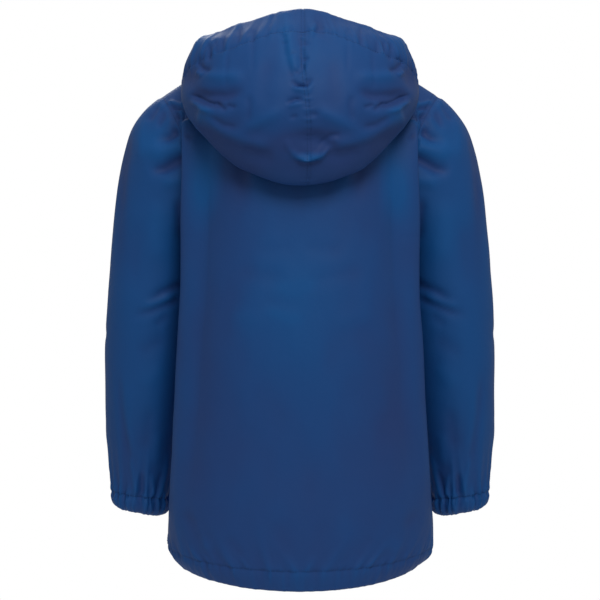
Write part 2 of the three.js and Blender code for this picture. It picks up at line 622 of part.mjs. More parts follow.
function zipParts(panels, normalAt) {
  const stations = zipStations(panels, normalAt);
  const slider = stationBelowTop(stations, SLIDER_BELOW_TOP);
  const chainTop = stationBelowTop(stations, SLIDER_BELOW_TOP - SLIDER.length / 2 + SLIDER.post + SEAM_GAP);
  const tape = [CHAIN_HALF_WIDTH + SEAM_GAP, CHAIN_HALF_WIDTH + SEAM_GAP + TAPE_WIDTH];
  const chain = [...stations.slice(1, chainTop.index), chainTop.station];
  const placeAt = ({ station, along }) => {
    const inward = point(0, along.z, -along.y);
    const middle = station.edge.clone().setX(0);
    return new THREE.Matrix4().makeBasis(point(1, 0, 0), inward, along).setPosition(middle);
  };
  const up = stations[1].edge.clone().sub(stations[0].edge).setX(0).normalize();
  const pin = point(0, SLIDER.pinY, 0).applyMatrix4(placeAt(slider));
  const box = block(across(BOX.width / 2), [BOX.front, BOX.back], [-BOX.length - SEAM_GAP, -SEAM_GAP]);
  return [
    mesh("zip_tape_left", zipStrip(stations, tape[0], tape[1], TAPE_DEPTHS), TAPE),
    mesh("zip_tape_right", zipStrip(stations, -tape[1], -tape[0], TAPE_DEPTHS), TAPE),
    mesh("zip_chain", zipStrip(chain, -CHAIN_HALF_WIDTH, CHAIN_HALF_WIDTH, CHAIN_DEPTHS), COIL),
    solidMesh("zip_box", box, placeAt({ station: stations[1], along: up }), METAL),
    solidMesh("zip_slider", sliderSolid(), placeAt(slider), METAL),
    solidMesh("zip_pull_tab", tabSolid(), new THREE.Matrix4().setPosition(pin), METAL),
  ];
}

function mesh(name, geometry, material) {
  const made = new THREE.Mesh(geometry, material);
  made.name = name;
  return made;
}

const coat = new THREE.Group();
const half = coatHalf();
const panels = [...backPanels(), ...half, ...half.map(mirrorPanel)];
const normalAt = sharedNormals(panels);
panels.forEach((p) => coat.add(mesh(p.name, clothWall(p, normalAt), CLOTH)));
zipParts(panels, normalAt).forEach((part) => coat.add(part));

export default coat;
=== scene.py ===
"""A child's hooded raincoat in royal blue taffeta, dressed from behind as it looks when it is worn.

The tables give the coat's surfaces in millimetres, the same as its solids have. Every cloth panel is
a thin shell on its surface, with gathers, puckers and creases laid on it in real sizes, and becomes
metres where its mesh is made. Half the coat is described, on the wearer's left, and mirrored.
"""
from __future__ import annotations

import logging
import math
from dataclasses import dataclass, field, fields, replace
from enum import Enum
from types import SimpleNamespace
from typing import Callable, Mapping, Sequence

import bpy
import numpy as np
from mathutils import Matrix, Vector


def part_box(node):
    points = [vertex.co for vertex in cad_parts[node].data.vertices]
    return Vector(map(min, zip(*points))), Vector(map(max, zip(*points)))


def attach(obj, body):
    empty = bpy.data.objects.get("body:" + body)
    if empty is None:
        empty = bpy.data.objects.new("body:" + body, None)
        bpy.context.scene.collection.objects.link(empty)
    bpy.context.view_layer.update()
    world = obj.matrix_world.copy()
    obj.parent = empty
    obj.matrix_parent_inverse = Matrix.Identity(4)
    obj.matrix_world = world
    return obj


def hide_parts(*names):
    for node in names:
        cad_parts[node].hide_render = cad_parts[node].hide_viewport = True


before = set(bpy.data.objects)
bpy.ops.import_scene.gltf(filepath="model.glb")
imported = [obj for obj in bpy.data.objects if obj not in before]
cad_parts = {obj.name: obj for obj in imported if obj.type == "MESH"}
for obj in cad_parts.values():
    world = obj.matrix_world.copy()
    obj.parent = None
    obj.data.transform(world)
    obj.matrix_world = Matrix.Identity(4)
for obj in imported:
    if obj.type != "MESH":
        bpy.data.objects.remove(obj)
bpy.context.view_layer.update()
LOG = logging.getLogger("raincoat")

Array = np.ndarray
Surface = Callable[[Array, Array], Array]
MM = 0.001
QUARTER = math.pi / 2


def points(x: Array, y: Array, z: Array) -> Array:
    """Points from their coordinates, broadcast together."""
    return np.stack(np.broadcast_arrays(x, y, z), axis=-1).astype(float)


def smooth(value: Array, low: float, high: float) -> Array:
    """Rises softly from 0 at low to 1 at high."""
    t = np.clip((value - low) / (high - low), 0, 1)
    return t * t * (3 - 2 * t)


def through(a: Array, b: Array, c: Array, d: Array, t: Array) -> Array:
    """A smooth number through four, between the middle two."""
    return b + 0.5 * t * (c - a + t * (2 * a - 5 * b + 4 * c - d + t * (3 * (b - c) + d - a)))


def bezier(a: Array, b: Array, c: Array, d: Array, t: Array) -> Array:
    """A cubic curve from a to d with the handles b and c."""
    s = 1 - t
    return a * s**3 + 3 * b * s * s * t + 3 * c * s * t * t + d * t**3


def unit(vectors: Array) -> Array:
    """Vectors of length one, the same way round."""
    return vectors / np.maximum(np.linalg.norm(vectors, axis=-1, keepdims=True), 1e-9)


class Table:
    """Rows of a short table, read as smooth curves between them."""

    def __init__(self, rows: Sequence[object], level_start: bool = False) -> None:
        """Keeps each named column of the rows as an array, level at the first row if told so."""
        self.level_start = level_start
        names = [f.name for f in fields(rows[0])]
        self.columns = {name: np.array([getattr(row, name) for row in rows], float) for name in names}
        self.last = len(rows) - 1

    def at(self, place: Array) -> SimpleNamespace:
        """Every column at a place between the rows, which may lie a little past the ends.

        Args:
            place: Row numbers, whole at a row.

        Returns:
            A namespace with an array for each column.
        """
        place = np.asarray(place, float)
        i = np.clip(np.floor(place), 0, self.last - 1).astype(int)
        found = {}
        for name, column in self.columns.items():
            before = column[1] if self.level_start else 2 * column[0] - column[1]
            after = 2 * column[-1] - column[-2]
            ends = np.concatenate(([before], column, [after]))
            found[name] = through(ends[i], ends[i + 1], ends[i + 2], ends[i + 3], place - i)
        return SimpleNamespace(**found)

    def place_of(self, name: str, value: Array) -> Array:
        """The place where a column that runs one way has a value."""
        column = self.columns[name]
        way = 1 if column[-1] > column[0] else -1
        passed = np.searchsorted(column * way, np.asarray(value) * way, side="right")
        i = np.clip(passed - 1, 0, self.last - 1)
        return i + (value - column[i]) / (column[i + 1] - column[i])


@dataclass(frozen=True)
class BodyRow:
    """A level section of half the body: points at the side and the two middles, and curve handles."""

    side_x: float
    side_z: float
    back_y: float
    back_z: float
    back_full: float
    wide_x: float
    wide_y: float
    front_y: float
    front_z: float
    front_full: float
    fold_x: float
    fold_y: float
    roll: float


@dataclass(frozen=True)
class RiseRow:
    """A height on the middle line of the back or the front, above the armpit."""

    z: float
    y: float


@dataclass(frozen=True)
class SleeveRow:
    """A section of the sleeve between its outermost point and the one nearest the body."""

    out_x: float
    out_z: float
    in_x: float
    in_z: float
    mid_y: float
    depth: float
    hollow: float


@dataclass(frozen=True)
class HoodRow:
    """The hood's profile at a compass angle, as radii and heights out from the neck seam."""

    angle: float
    lift: float
    inner_r: float
    inner_z: float
    low_r: float
    low_z: float
    wide_r: float
    wide_z: float
    high_r: float
    high_z: float
    rim_r: float
    rim_z: float


@dataclass(frozen=True)
class SeamRow:
    """Where the rim casing's seam lies on the hood's profile, at a compass angle."""

    angle: float
    place: float


BODY = Table([
    BodyRow(112, -195, 112, -195, 80, 118, 86, -110, -195, 66, 90, -36, 16),
    BodyRow(113, -252, 114, -254, 80, 122, 86, -113, -252, 70, 95, -38, 14),
    BodyRow(116, -308, 113, -310, 82, 132, 84, -114, -308, 72, 102, -40, 12),
    BodyRow(120, -364, 111, -368, 84, 138, 80, -114, -364, 74, 108, -42, 10),
    BodyRow(126, -420, 110, -426, 86, 145, 76, -114, -420, 76, 118, -44, 7),
    BodyRow(136, -474, 110, -482, 88, 152, 70, -114, -475, 78, 134, -52, 2),
    BodyRow(140, -523, 107, -536, 88, 146, 66, -111, -524, 78, 139, -58, 0),
    BodyRow(128, -541, 103, -556, 84, 132, 66, -107, -543, 76, 126, -56, 0),
])
SLEEVE = Table([
    SleeveRow(149, -43, 112, -195, 0, 52, 16),
    SleeveRow(166, -57, 114.4, -197.6, -1, 51, 9),
    SleeveRow(181, -78, 116, -203, -2, 50, 3),
    SleeveRow(189, -101, 117.5, -210, -4, 49, 1),
    SleeveRow(195, -130, 118.5, -221, -6, 48, 0),
    SleeveRow(200, -165, 119.5, -237, -8, 47, 0),
    SleeveRow(205, -208, 120.5, -259, -11, 46, 0),
    SleeveRow(209, -255, 122.5, -289, -14, 45, 0),
    SleeveRow(212, -304, 125.5, -325, -19, 44, 0),
    SleeveRow(213, -352, 129.5, -363, -25, 43, 0),
    SleeveRow(213, -394, 134.5, -400, -32, 40, 0),
    SleeveRow(209.5, -432, 141, -438, -38, 36, 0),
    SleeveRow(206, -472, 148, -480, -42, 30, 0),
    SleeveRow(204, -491, 150.5, -500, -44, 28, 0),
])
HOOD = Table([
    HoodRow(0, 12, 112, -62, 131, -147, 170, -84, 156, -14, 116, 31),
    HoodRow(26, 15, 114, -58, 134, -131, 170, -78, 156, -14, 121, 20),
    HoodRow(46, 16, 114, -46, 139, -90, 159, -58, 150, -14, 130, 8),
    HoodRow(64, 15, 106, -28, 127, -58, 137, -42, 132, -20, 119, 4),
    HoodRow(90, 14, 84, 0, 104, -9, 112, -4, 110, 5, 101, 12),
    HoodRow(120, 8, 82, -4, 91, -2, 96, 4, 97, 10, 94, 16),
    HoodRow(150, 2, 80, -32, 84, -23, 88, -14, 90, -4, 89, 8),
    HoodRow(180, 0, 81, -46, 83, -38, 85, -29, 86.5, -19, 87, -6),
], level_start=True)
RIM_SEAM = Table([
    SeamRow(0, 4.333), SeamRow(10, 4.32), SeamRow(18, 4.18), SeamRow(27, 4.0), SeamRow(40, 3.82),
    SeamRow(58, 3.55), SeamRow(76, 3.85), SeamRow(100, 4.25), SeamRow(140, 4.333), SeamRow(180, 4.333),
], level_start=True)
BACK_RISE = [RiseRow(-195, 112), RiseRow(-140, 110), RiseRow(-90, 101), RiseRow(-45, 80)]
FRONT_RISE = [RiseRow(-195, -110), RiseRow(-160, -109), RiseRow(-125, -103), RiseRow(-90, -92)]


# How far the body's cloth puffs up beside its seams, and how the double cloth of a casing is folded, in mm
BODY_SEAMS = {"pillow": 0.7, "pillow_reach": 2.2}
CASING_WALL = 1.5
HEM_FOLD = {"turn_in": (1.5, 4), "wall": CASING_WALL}


@dataclass(frozen=True)
class CoatForm:
    """The coat's surfaces on the wearer's left, in millimetres.

    Across runs from the middle (0) to the side seam (1). Height runs from the casing seam (0) past
    the armpit (1) to the neck and shoulder seams (2).
    """

    neck_half_width: float = 68
    neck_back: tuple[float, float] = (52, 8)
    neck_front: tuple[float, float] = (79, 55)
    neck_share: float = 7 / 13
    shoulder_arch: float = 4
    zip_edge: float = 4.5
    casing_row: int = BODY.last - 1
    body_end: int = BODY.last
    cuff_row: int = SLEEVE.last - 1
    sleeve_end: int = SLEEVE.last
    hood_seam: float = 4 + 1 / 3
    hood_end: int = 5
    roll_from: float = 0.54
    roll_to: float = 0.93
    roll_fade: tuple[float, float] = (0.55, 0.9)
    lean: float = 2.2

    @property
    def neck_front_angle(self) -> float:
        """The angle where the neck seam meets the zip."""
        return math.pi - math.asin(self.zip_edge / self.neck_half_width)

    def neck(self, angle: Array) -> Array:
        """The neck seam at an angle, 0 at the middle of the back."""
        c = np.cos(angle)
        back_depth, back_drop = self.neck_back
        front_depth, front_drop = self.neck_front
        y = np.where(c >= 0, back_depth * c, front_depth * c)
        z = np.where(c >= 0, -back_drop * c * c, -front_drop * np.maximum(-c, 0) ** 1.5)
        return points(self.neck_half_width * np.sin(angle), y, z)

    def sleeve(self, around: Array, along: Array) -> Array:
        """The sleeve, around from its top, 90 degrees at the back, and along in table rows."""
        s = SLEEVE.at(along)
        c = (1 + np.cos(around)) / 2
        w = np.sin(around)
        x = s.in_x + (s.out_x - s.in_x) * c - s.hollow * w * w
        return points(x, s.mid_y + s.depth * w, s.in_z + (s.out_z - s.in_z) * c)

    def rolled(self, found: Array, across: Array, size: Array) -> Array:
        """Cloth that stands out in a soft vertical fold behind the arm."""
        share = np.clip((across - self.roll_from) / (self.roll_to - self.roll_from), 0, 1)
        bump = size * np.sin(math.pi * share) ** 2
        return found + points(bump, 0.5 * bump, 0 * bump)

    def skirt(self, is_back: bool, across: Array, place: Array) -> Array:
        """The body below the armpit, at a place in its table."""
        r = BODY.at(place)
        if is_back:
            x = bezier(0, r.back_full, r.wide_x, r.side_x, across)
            y = bezier(r.back_y, r.back_y + 2, r.wide_y, 0, across)
            z = bezier(r.back_z, r.back_z, r.side_z, r.side_z, across)
            return self.rolled(points(x, y, z), across, r.roll)
        x = bezier(self.zip_edge, r.front_full, r.fold_x, r.side_x, across)
        y = bezier(r.front_y, r.front_y - 2, r.fold_y, 0, across)
        z = bezier(r.front_z, r.front_z, r.side_z, r.side_z, across)
        return points(x, y, z)

    def top(self, is_back: bool, across: Array) -> Array:
        """The panel's top edge: the neck seam, then the shoulder seam."""
        start = 0 if is_back else self.neck_front_angle
        turned = start + (QUARTER - start) * np.clip(across / self.neck_share, 0, 1)
        share = np.clip((across - self.neck_share) / (1 - self.neck_share), 0, 1)[..., None]
        shoulder = self.neck(QUARTER) * (1 - share) + self.sleeve(0, 0) * share
        shoulder[..., 2] += self.shoulder_arch * np.sin(math.pi * share[..., 0])
        return np.where((across <= self.neck_share)[..., None], self.neck(turned), shoulder)

    def softened_top(self, is_back: bool, across: Array, spread: Array) -> Array:
        """The top edge with its corner at the shoulder rounded over a spread to either side."""
        reach = spread * np.minimum(across, 1 - across)
        steps = np.linspace(-1, 1, 9)
        weights = 1 - np.abs(steps) * 0.9
        found = sum(w * self.top(is_back, across + reach * s) for w, s in zip(weights, steps))
        return found / weights.sum()

    def yoke(self, is_back: bool, across: Array, up: Array) -> Array:
        """The patch between the armpit (0) and the top edge (1), from its four edges."""
        across, up = np.broadcast_arrays(np.asarray(across, float), np.asarray(up, float))
        level = (1 - np.cos(math.pi * up)) / 2
        leaning = level**self.lean
        zero, one = np.zeros_like(across), np.ones_like(across)
        seam = self.top(is_back, np.zeros(1))[0]
        rise = Table([*(BACK_RISE if is_back else FRONT_RISE), RiseRow(seam[2], seam[1])])
        z = rise.columns["z"][0] + (seam[2] - rise.columns["z"][0]) * level
        y = rise.at(rise.place_of("z", z)).y
        middle = points(0 if is_back else self.zip_edge, y, z)
        armhole = self.sleeve(math.pi * (1 - up) if is_back else math.pi * (1 + up), 0)

        def blended(low: Array, high: Array) -> Array:
            """Leans in late from the lower edge to the upper one."""
            found = low + (high - low) * leaning[..., None]
            found[..., 2] = low[..., 2] + (high[..., 2] - low[..., 2]) * level
            return found

        nearness = (3 if is_back else 2) + 6 * (1 - level) ** 4
        edges = (across**nearness)[..., None]
        skirt_middle = self.skirt(is_back, zero, zero)
        skirt_side = self.skirt(is_back, one, zero)
        top = self.softened_top(is_back, across, 0.6 * (1 - level))
        found = blended(self.skirt(is_back, across, zero), top)
        found += (middle - blended(skirt_middle, self.top(is_back, zero))) * (1 - edges)
        found += (armhole - blended(skirt_side, self.top(is_back, one))) * edges
        if not is_back:
            return found
        roll = BODY.columns["roll"][0]
        faded = roll * (1 - smooth(up, *self.roll_fade))
        return self.rolled(found, across, faded - roll * (1 - leaning))

    def body(self, is_back: bool, across: Array, height: Array) -> Array:
        """A body panel above its casing seam."""
        skirt = self.skirt(is_back, across, self.casing_row * (1 - np.minimum(height, 1)))
        yoke = self.yoke(is_back, across, np.clip(height - 1, 0, 1))
        return np.where((np.asarray(height) >= 1)[..., None], yoke, skirt)

    def hood(self, angle: Array, place: Array) -> Array:
        """The hood by neck angle and by place along its profile, with the seam's drift to one side."""
        seam = self.neck(angle)
        compass = np.arctan2(seam[..., 0], seam[..., 1])
        row = HOOD.at(HOOD.place_of("angle", np.degrees(compass)))
        legs = ("inner", "low", "wide", "high", "rim")
        radii = [np.hypot(seam[..., 0], seam[..., 1])] + [getattr(row, leg + "_r") for leg in legs]
        heights = [seam[..., 2]] + [getattr(row, leg + "_z") for leg in legs]
        r, z = (self.along_profile(corners, place) for corners in (radii, heights))
        z = z + row.lift * np.sin(math.pi * np.minimum(place, 1)) ** 2
        return points(r * np.sin(compass), r * np.cos(compass), z)

    def rim_seam(self, share: Array) -> Array:
        """The casing seam's place on the profile, lower at the sides of the face opening."""
        seam = self.neck(self.neck_angle(share))
        compass = np.degrees(np.arctan2(seam[..., 0], seam[..., 1]))
        return RIM_SEAM.at(RIM_SEAM.place_of("angle", compass)).place

    def along_profile(self, corners: Sequence[Array], place: Array) -> Array:
        """A smooth number along a list of corners, at a place between them."""
        first, last = 2 * corners[0] - corners[1], 2 * corners[-1] - corners[-2]
        stack = np.stack([first, *corners, last])
        shape = np.broadcast_shapes(stack.shape[1:], np.shape(place))
        stack = np.broadcast_to(stack, (len(stack), *shape))
        place = np.broadcast_to(place, shape)
        i = np.clip(np.floor(place), 0, len(corners) - 2).astype(int)
        four = [np.take_along_axis(stack, (i + k)[None], 0)[0] for k in range(4)]
        return through(*four, place - i)

    def drifted(self, found: Array, place: Array) -> Array:
        """The hood's middle seam wanders a little to the right of the middle, as sewn cloth does."""
        down = np.clip((22 - found[..., 2]) / 150, 0, 1)
        outside = smooth(np.broadcast_to(place, down.shape), 1.6, 2.4) * smooth(found[..., 1], 20, 70)
        shift = -(3 + 6 * smooth(down, 0.3, 0.8)) * np.exp(-((found[..., 0] / 42) ** 2))
        found[..., 0] += shift * outside
        return found

    def neck_angle(self, share: Array) -> Array:
        """The neck seam's angle from the back (0) by the shoulder (0.5) to the zip (1)."""
        front = QUARTER + (self.neck_front_angle - QUARTER) * (2 * share - 1)
        return np.where(share <= 0.5, QUARTER * 2 * share, front)


FORM = CoatForm()


class Face(Enum):
    """The side of the coat that a crease is seen from, as the axes of its plane and its direction."""

    BACK = (0, 2, 1, 1)
    FRONT = (0, 2, 1, -1)
    OUTER = (1, 2, 0, 1)
    ALL = (0, 2, 1, 0)

    def flat(self, found: Array) -> Array:
        """Points in the face's plane, with the right side folded onto the left."""
        folded = found.copy()
        folded[..., 0] = np.abs(folded[..., 0])
        return folded[..., [self.value[0], self.value[1]]]

    def facing(self, found: Array, normals: Array) -> Array:
        """How far the cloth faces this side, from 0 to 1."""
        axis, way = self.value[2], self.value[3]
        if self is Face.ALL:
            return np.ones(normals.shape[:-1])
        turned = normals[..., axis] * way
        if self is Face.OUTER:
            turned = turned * np.sign(found[..., 0])
        return smooth(turned, 0.02, 0.4)


class Form(Enum):
    """How a crease looks across its line."""

    SOFT = 0
    CRISP = 1
    LIP = 2


class Side(Enum):
    """Whether a crease is on both halves of the coat, or on one."""

    BOTH = 0
    LEFT = 1
    RIGHT = -1


@dataclass(frozen=True)
class Crease:
    """A ridge (height above 0) or a trough along a line of points in a face's plane, in millimetres.

    A lip is steep on the left of its line and gentle on the right of it. The ends die out over a
    share of its length.
    """

    line: tuple[tuple[float, float], ...]
    width: float
    height: float
    form: Form = Form.SOFT
    face: Face = Face.BACK
    side: Side = Side.BOTH
    ends: tuple[float, float] = (0.3, 0.3)

    def relief(self, found: Array, normals: Array) -> Array:
        """The crease's height at each point of a panel."""
        flat = self.face.flat(found)
        if self.side is not Side.BOTH:
            flat[..., 0] = found[..., 0] * self.side.value
        line = np.array(self.line, float)
        lengths = np.linalg.norm(np.diff(line, axis=0), axis=1)
        starts = np.concatenate(([0], np.cumsum(lengths)))
        nearest = np.full(flat.shape[:-1], 1e9)
        share = np.zeros_like(nearest)
        sided = np.zeros_like(nearest)
        for k, length in enumerate(lengths):
            along = (line[k + 1] - line[k]) / length
            offset = flat - line[k]
            t = np.clip(offset @ along, 0, length)
            gap = offset - t[..., None] * along
            distance = np.linalg.norm(gap, axis=-1)
            closer = distance < nearest
            nearest = np.where(closer, distance, nearest)
            share = np.where(closer, (starts[k] + t) / starts[-1], share)
            turn = along[0] * offset[..., 1] - along[1] * offset[..., 0]
            sided = np.where(closer, turn, sided)
        fade = np.ones_like(share)
        if self.ends[0] > 0:
            fade = fade * smooth(share, 0, self.ends[0])
        if self.ends[1] > 0:
            fade = fade * smooth(1 - share, 0, self.ends[1])
        profile = self.profile(nearest, sided)
        return self.height * fade * profile * self.face.facing(found, normals)

    def profile(self, distance: Array, sided: Array) -> Array:
        """The height across the line, 1 on it."""
        if self.form is Form.SOFT:
            return np.exp(-((distance / self.width) ** 2))
        if self.form is Form.CRISP:
            return np.exp(0.25 - np.sqrt((distance / self.width) ** 2 + 0.0625))
        width = np.where(sided > 0, 0.3 * self.width, self.width)
        return np.exp(-((distance / width) ** 2))


@dataclass(frozen=True)
class Swell:
    """A broad rise or dent, as an oval in a face's plane turned by degrees."""

    centre: tuple[float, float]
    radii: tuple[float, float]
    height: float
    turn: float = 0
    face: Face = Face.BACK
    side: Side = Side.BOTH

    def relief(self, found: Array, normals: Array) -> Array:
        """The swell's height at each point of a panel."""
        flat = self.face.flat(found)
        if self.side is not Side.BOTH:
            flat[..., 0] = found[..., 0] * self.side.value
        angle = math.radians(self.turn)
        offset = flat - np.array(self.centre, float)
        u = offset[..., 0] * math.cos(angle) + offset[..., 1] * math.sin(angle)
        v = offset[..., 1] * math.cos(angle) - offset[..., 0] * math.sin(angle)
        oval = np.exp(-((u / self.radii[0]) ** 2) - (v / self.radii[1]) ** 2)
        return self.height * oval * self.face.facing(found, normals)


@dataclass(frozen=True)
class Rumple:
    """Slight uneven waves all over a panel, of a few lengths and directions."""

    height: float
    longest: float = 95
    shortest: float = 24
    count: int = 26
    seed: int = 3

    def relief(self, found: Array, normals: Array) -> Array:
        """The waves' height at each point of a panel."""
        rng = np.random.default_rng(self.seed)
        total = np.zeros(found.shape[:-1])
        for _ in range(self.count):
            length = self.shortest * (self.longest / self.shortest) ** rng.random()
            way = unit(rng.normal(size=3)) * [1.3, 1.0, 0.7]
            phase = rng.random() * 2 * math.pi
            total += (length / self.longest) * np.sin(2 * math.pi / length * (found @ way) + phase)
        return self.height * total / math.sqrt(self.count / 4)


class Edge(Enum):
    """An edge of a panel's grid."""

    FIRST = 0
    LAST = 1
    LEFT = 2
    RIGHT = 3


class Join(Enum):
    """What an edge does.

    It is sewn to another panel, sewn to its own mirror image, stitched down with the cloth running
    on, or free.
    """

    SEWN = 0
    MATCHED = 1
    STITCHED = 2
    FREE = 3


@dataclass(frozen=True)
class Gathers:
    """Uneven small folds that run away from a stitched edge.

    Heights and widths are in millimetres, and the folds lean by slant to the side over their reach.
    """

    edge: Edge
    pitch: float
    height: float
    reach: float
    width: float = 0.3
    slant: float = 0
    seed: int = 1
    sharp: float = 1.0
    least: float = 0.25
    mirrored: bool = False

    def relief(self, along: Array, away: Array) -> Array:
        """The folds' height by the distances along the edge and away from it."""
        rng = np.random.default_rng(self.seed)
        length = float(along.max())
        count = max(int(round(length / self.pitch)), 2)
        spots = (np.arange(count) + 0.5 + rng.uniform(-0.38, 0.38, count)) * length / count
        total = np.zeros_like(along)
        for spot in spots:
            size = self.height * rng.uniform(self.least, 1)
            reach = self.reach * rng.uniform(0.45, 1.25)
            width = self.pitch * self.width * rng.uniform(0.7, 1.35)
            lean = self.slant * rng.uniform(0.3, 1.5) + rng.uniform(-0.12, 0.12)
            if self.mirrored and spot < length / 2:
                lean = -lean
            offset = along - spot - lean * away
            grown = width * (1 + 0.5 * away / reach)
            fold = np.exp(-np.abs(offset / grown) ** (1 + self.sharp))
            total += size * fold * np.exp(-((away / reach) ** 1.6))
        level = self.height * 0.5 * self.width * np.exp(-((away / self.reach) ** 1.6))
        return total - level

    def carried(self, edge: Edge, reach: float) -> Gathers:
        """The same folds run on over the seam, on the casing that starts at its own edge."""
        return replace(self, edge=edge, reach=reach, slant=0, mirrored=False)


@dataclass
class Panel:
    """A piece of cloth on one of the coat's surfaces, as a grid of points.

    Columns and rows are the surface's own parameters. Extra parameters just past a stitched edge
    make the normals run on over it.
    """

    name: str
    node: str
    surface: Surface
    columns: Array
    rows: Array
    outward: int
    joins: Mapping[Edge, Join]
    closed: bool = False
    before: float | None = None
    after: float | None = None
    creases: Sequence[Crease | Swell | Rumple] = ()
    gathers: Sequence[Gathers] = ()
    tones: Sequence[Crease | Swell] = ()
    turn_in: tuple[float, float] = (0, 5)
    pillow: float = 0.9
    pillow_reach: float = 3.2
    dip: float = 0.45
    calm: float = 5
    wall: float = 1.1
    rests_on: tuple[str, ...] = ()
    held: str = "hung"
    mirror: bool = False
    drift: Surface | None = None
    base: Array = field(init=False)
    normals: Array = field(init=False)
    outer: Array = field(init=False)
    inner: Array = field(init=False)
    over: Array = field(init=False)
    down: Array = field(init=False)
    raised: Array = field(init=False)
    tone: Array = field(init=False)

    def __post_init__(self) -> None:
        """Lays the cloth on its surface and shapes it."""
        self.lay()
        self.shape()

    def lay(self) -> None:
        """Works out the base points, their normals and the distances over and down the panel."""
        rows = np.concatenate((
            [self.before] if self.before is not None else [],
            self.rows,
            [self.after] if self.after is not None else [],
        ))
        grid = self.surface(self.columns[None, :], rows[:, None])
        if self.mirror:
            grid = grid * np.array([-1, 1, 1])
        if self.drift is not None:
            grid = self.drift(grid, rows[:, None])
        normals = self.grid_normals(grid)
        keep = slice(int(self.before is not None), len(rows) - int(self.after is not None))
        self.base, self.normals = grid[keep], normals[keep]
        wrapped = np.concatenate((self.base, self.base[:, :1]), 1) if self.closed else self.base
        steps = np.linalg.norm(np.diff(wrapped, axis=1), axis=-1)
        self.over = np.concatenate((np.zeros((len(steps), 1)), np.cumsum(steps, 1)), 1)
        steps = np.linalg.norm(np.diff(self.base, axis=0), axis=-1)
        self.down = np.concatenate((np.zeros((1, steps.shape[1])), np.cumsum(steps, 0)), 0)

    def grid_normals(self, grid: Array) -> Array:
        """Outward normals at a grid's points."""
        if self.closed:
            wrapped = np.concatenate((grid[:, -1:], grid, grid[:, :1]), 1)
            across = (wrapped[:, 2:] - wrapped[:, :-2]) / 2
        else:
            across = np.gradient(grid, axis=1)
        upward = np.gradient(grid, axis=0)
        way = -self.outward if self.mirror else self.outward
        return unit(np.cross(across, upward)) * way

    def away(self, edge: Edge) -> Array:
        """The distance of each point from an edge, over the cloth."""
        width = self.base.shape[1]
        return {
            Edge.FIRST: self.down,
            Edge.LAST: self.down[-1:] - self.down,
            Edge.LEFT: self.over[:, :width],
            Edge.RIGHT: self.over[:, -1:] - self.over[:, :width],
        }[edge]

    def along(self, edge: Edge) -> Array:
        """The distance of each point along an edge, taken on the edge itself."""
        width = self.base.shape[1]
        if edge in (Edge.FIRST, Edge.LAST):
            row = self.over[0 if edge is Edge.FIRST else -1, :width]
            return np.broadcast_to(row[None, :], self.down.shape)
        column = self.down[:, 0 if edge is Edge.LEFT else -1]
        return np.broadcast_to(column[:, None], self.down.shape)

    def shape(self) -> None:
        """Raises the cloth by its creases, its gathers and the swell between its seams."""
        creased, pinned, swell = (np.ones(self.base.shape[:2]) for _ in range(3))
        for edge, join in self.joins.items():
            away = self.away(edge)
            if join is Join.SEWN:
                creased *= 1 - np.exp(-((away / self.calm) ** 2))
                pinned *= 1 - np.exp(-((away / 1.5) ** 2))
            if join is not Join.FREE:
                held = 0.5 if join is Join.MATCHED else 1
                swell *= 1 - held * np.exp(-((away / self.pillow_reach) ** 2))
        raised = sum((c.relief(self.base, self.normals) for c in self.creases), np.zeros_like(swell))
        for gathers in self.gathers:
            raised = raised + gathers.relief(self.along(gathers.edge), self.away(gathers.edge))
        self.raised = raised * creased
        total = (self.raised + self.pillow * swell - self.dip) * pinned
        for edge, join in self.joins.items():
            if join is Join.FREE and self.turn_in[0] and edge in (Edge.FIRST, Edge.LAST):
                amount, reach = self.turn_in
                left = np.clip(1 - self.away(edge) / reach, 0, 1)
                total = total - amount * (1 - np.sqrt(1 - left**2))
        # The painted light and shade that the cloth's colour takes, summed from the panel's marks
        self.tone = sum((t.relief(self.base, self.normals) for t in self.tones), np.zeros_like(swell))
        self.outer = self.base + total[..., None] * self.normals
        self.inner = self.outer - self.wall * self.normals

    def row_beside(self, edge: Edge, distance: float) -> Array:
        """Points on the finished cloth at a distance from its first or last row.

        Args:
            edge: FIRST or LAST for a row, LEFT or RIGHT for a column.
            distance: Millimetres over the cloth from the edge.

        Returns:
            The line's points, in millimetres, a closed panel's first point repeated at the end.
        """
        away, outer, normals = self.away(edge), self.outer, self.normals
        if edge in (Edge.LEFT, Edge.RIGHT):
            away, outer, normals = away.T, outer.swapaxes(0, 1), normals.swapaxes(0, 1)
        if edge in (Edge.LAST, Edge.RIGHT):
            away, outer, normals = away[::-1], outer[::-1], normals[::-1]
        found = []
        for k in range(away.shape[1]):
            at = np.interp(distance, away[:, k], np.arange(len(away)))
            i = min(int(at), len(away) - 2)
            point = outer[i, k] + (outer[i + 1, k] - outer[i, k]) * (at - i)
            found.append(point + 0.12 * normals[i, k])
        if self.closed and edge in (Edge.FIRST, Edge.LAST):
            found.append(found[0])
        return np.array(found)

    def taken_up(self) -> float:
        """How much more cloth the folds hold than the smooth form under them, as a factor."""
        areas = []
        for grid in (self.outer, self.base):
            if self.closed:
                grid = np.concatenate((grid, grid[:, :1]), 1)
            one = grid[1:, 1:] - grid[:-1, :-1]
            other = grid[1:, :-1] - grid[:-1, 1:]
            areas.append(float(np.linalg.norm(np.cross(one, other), axis=-1).sum()))
        return areas[0] / areas[1]

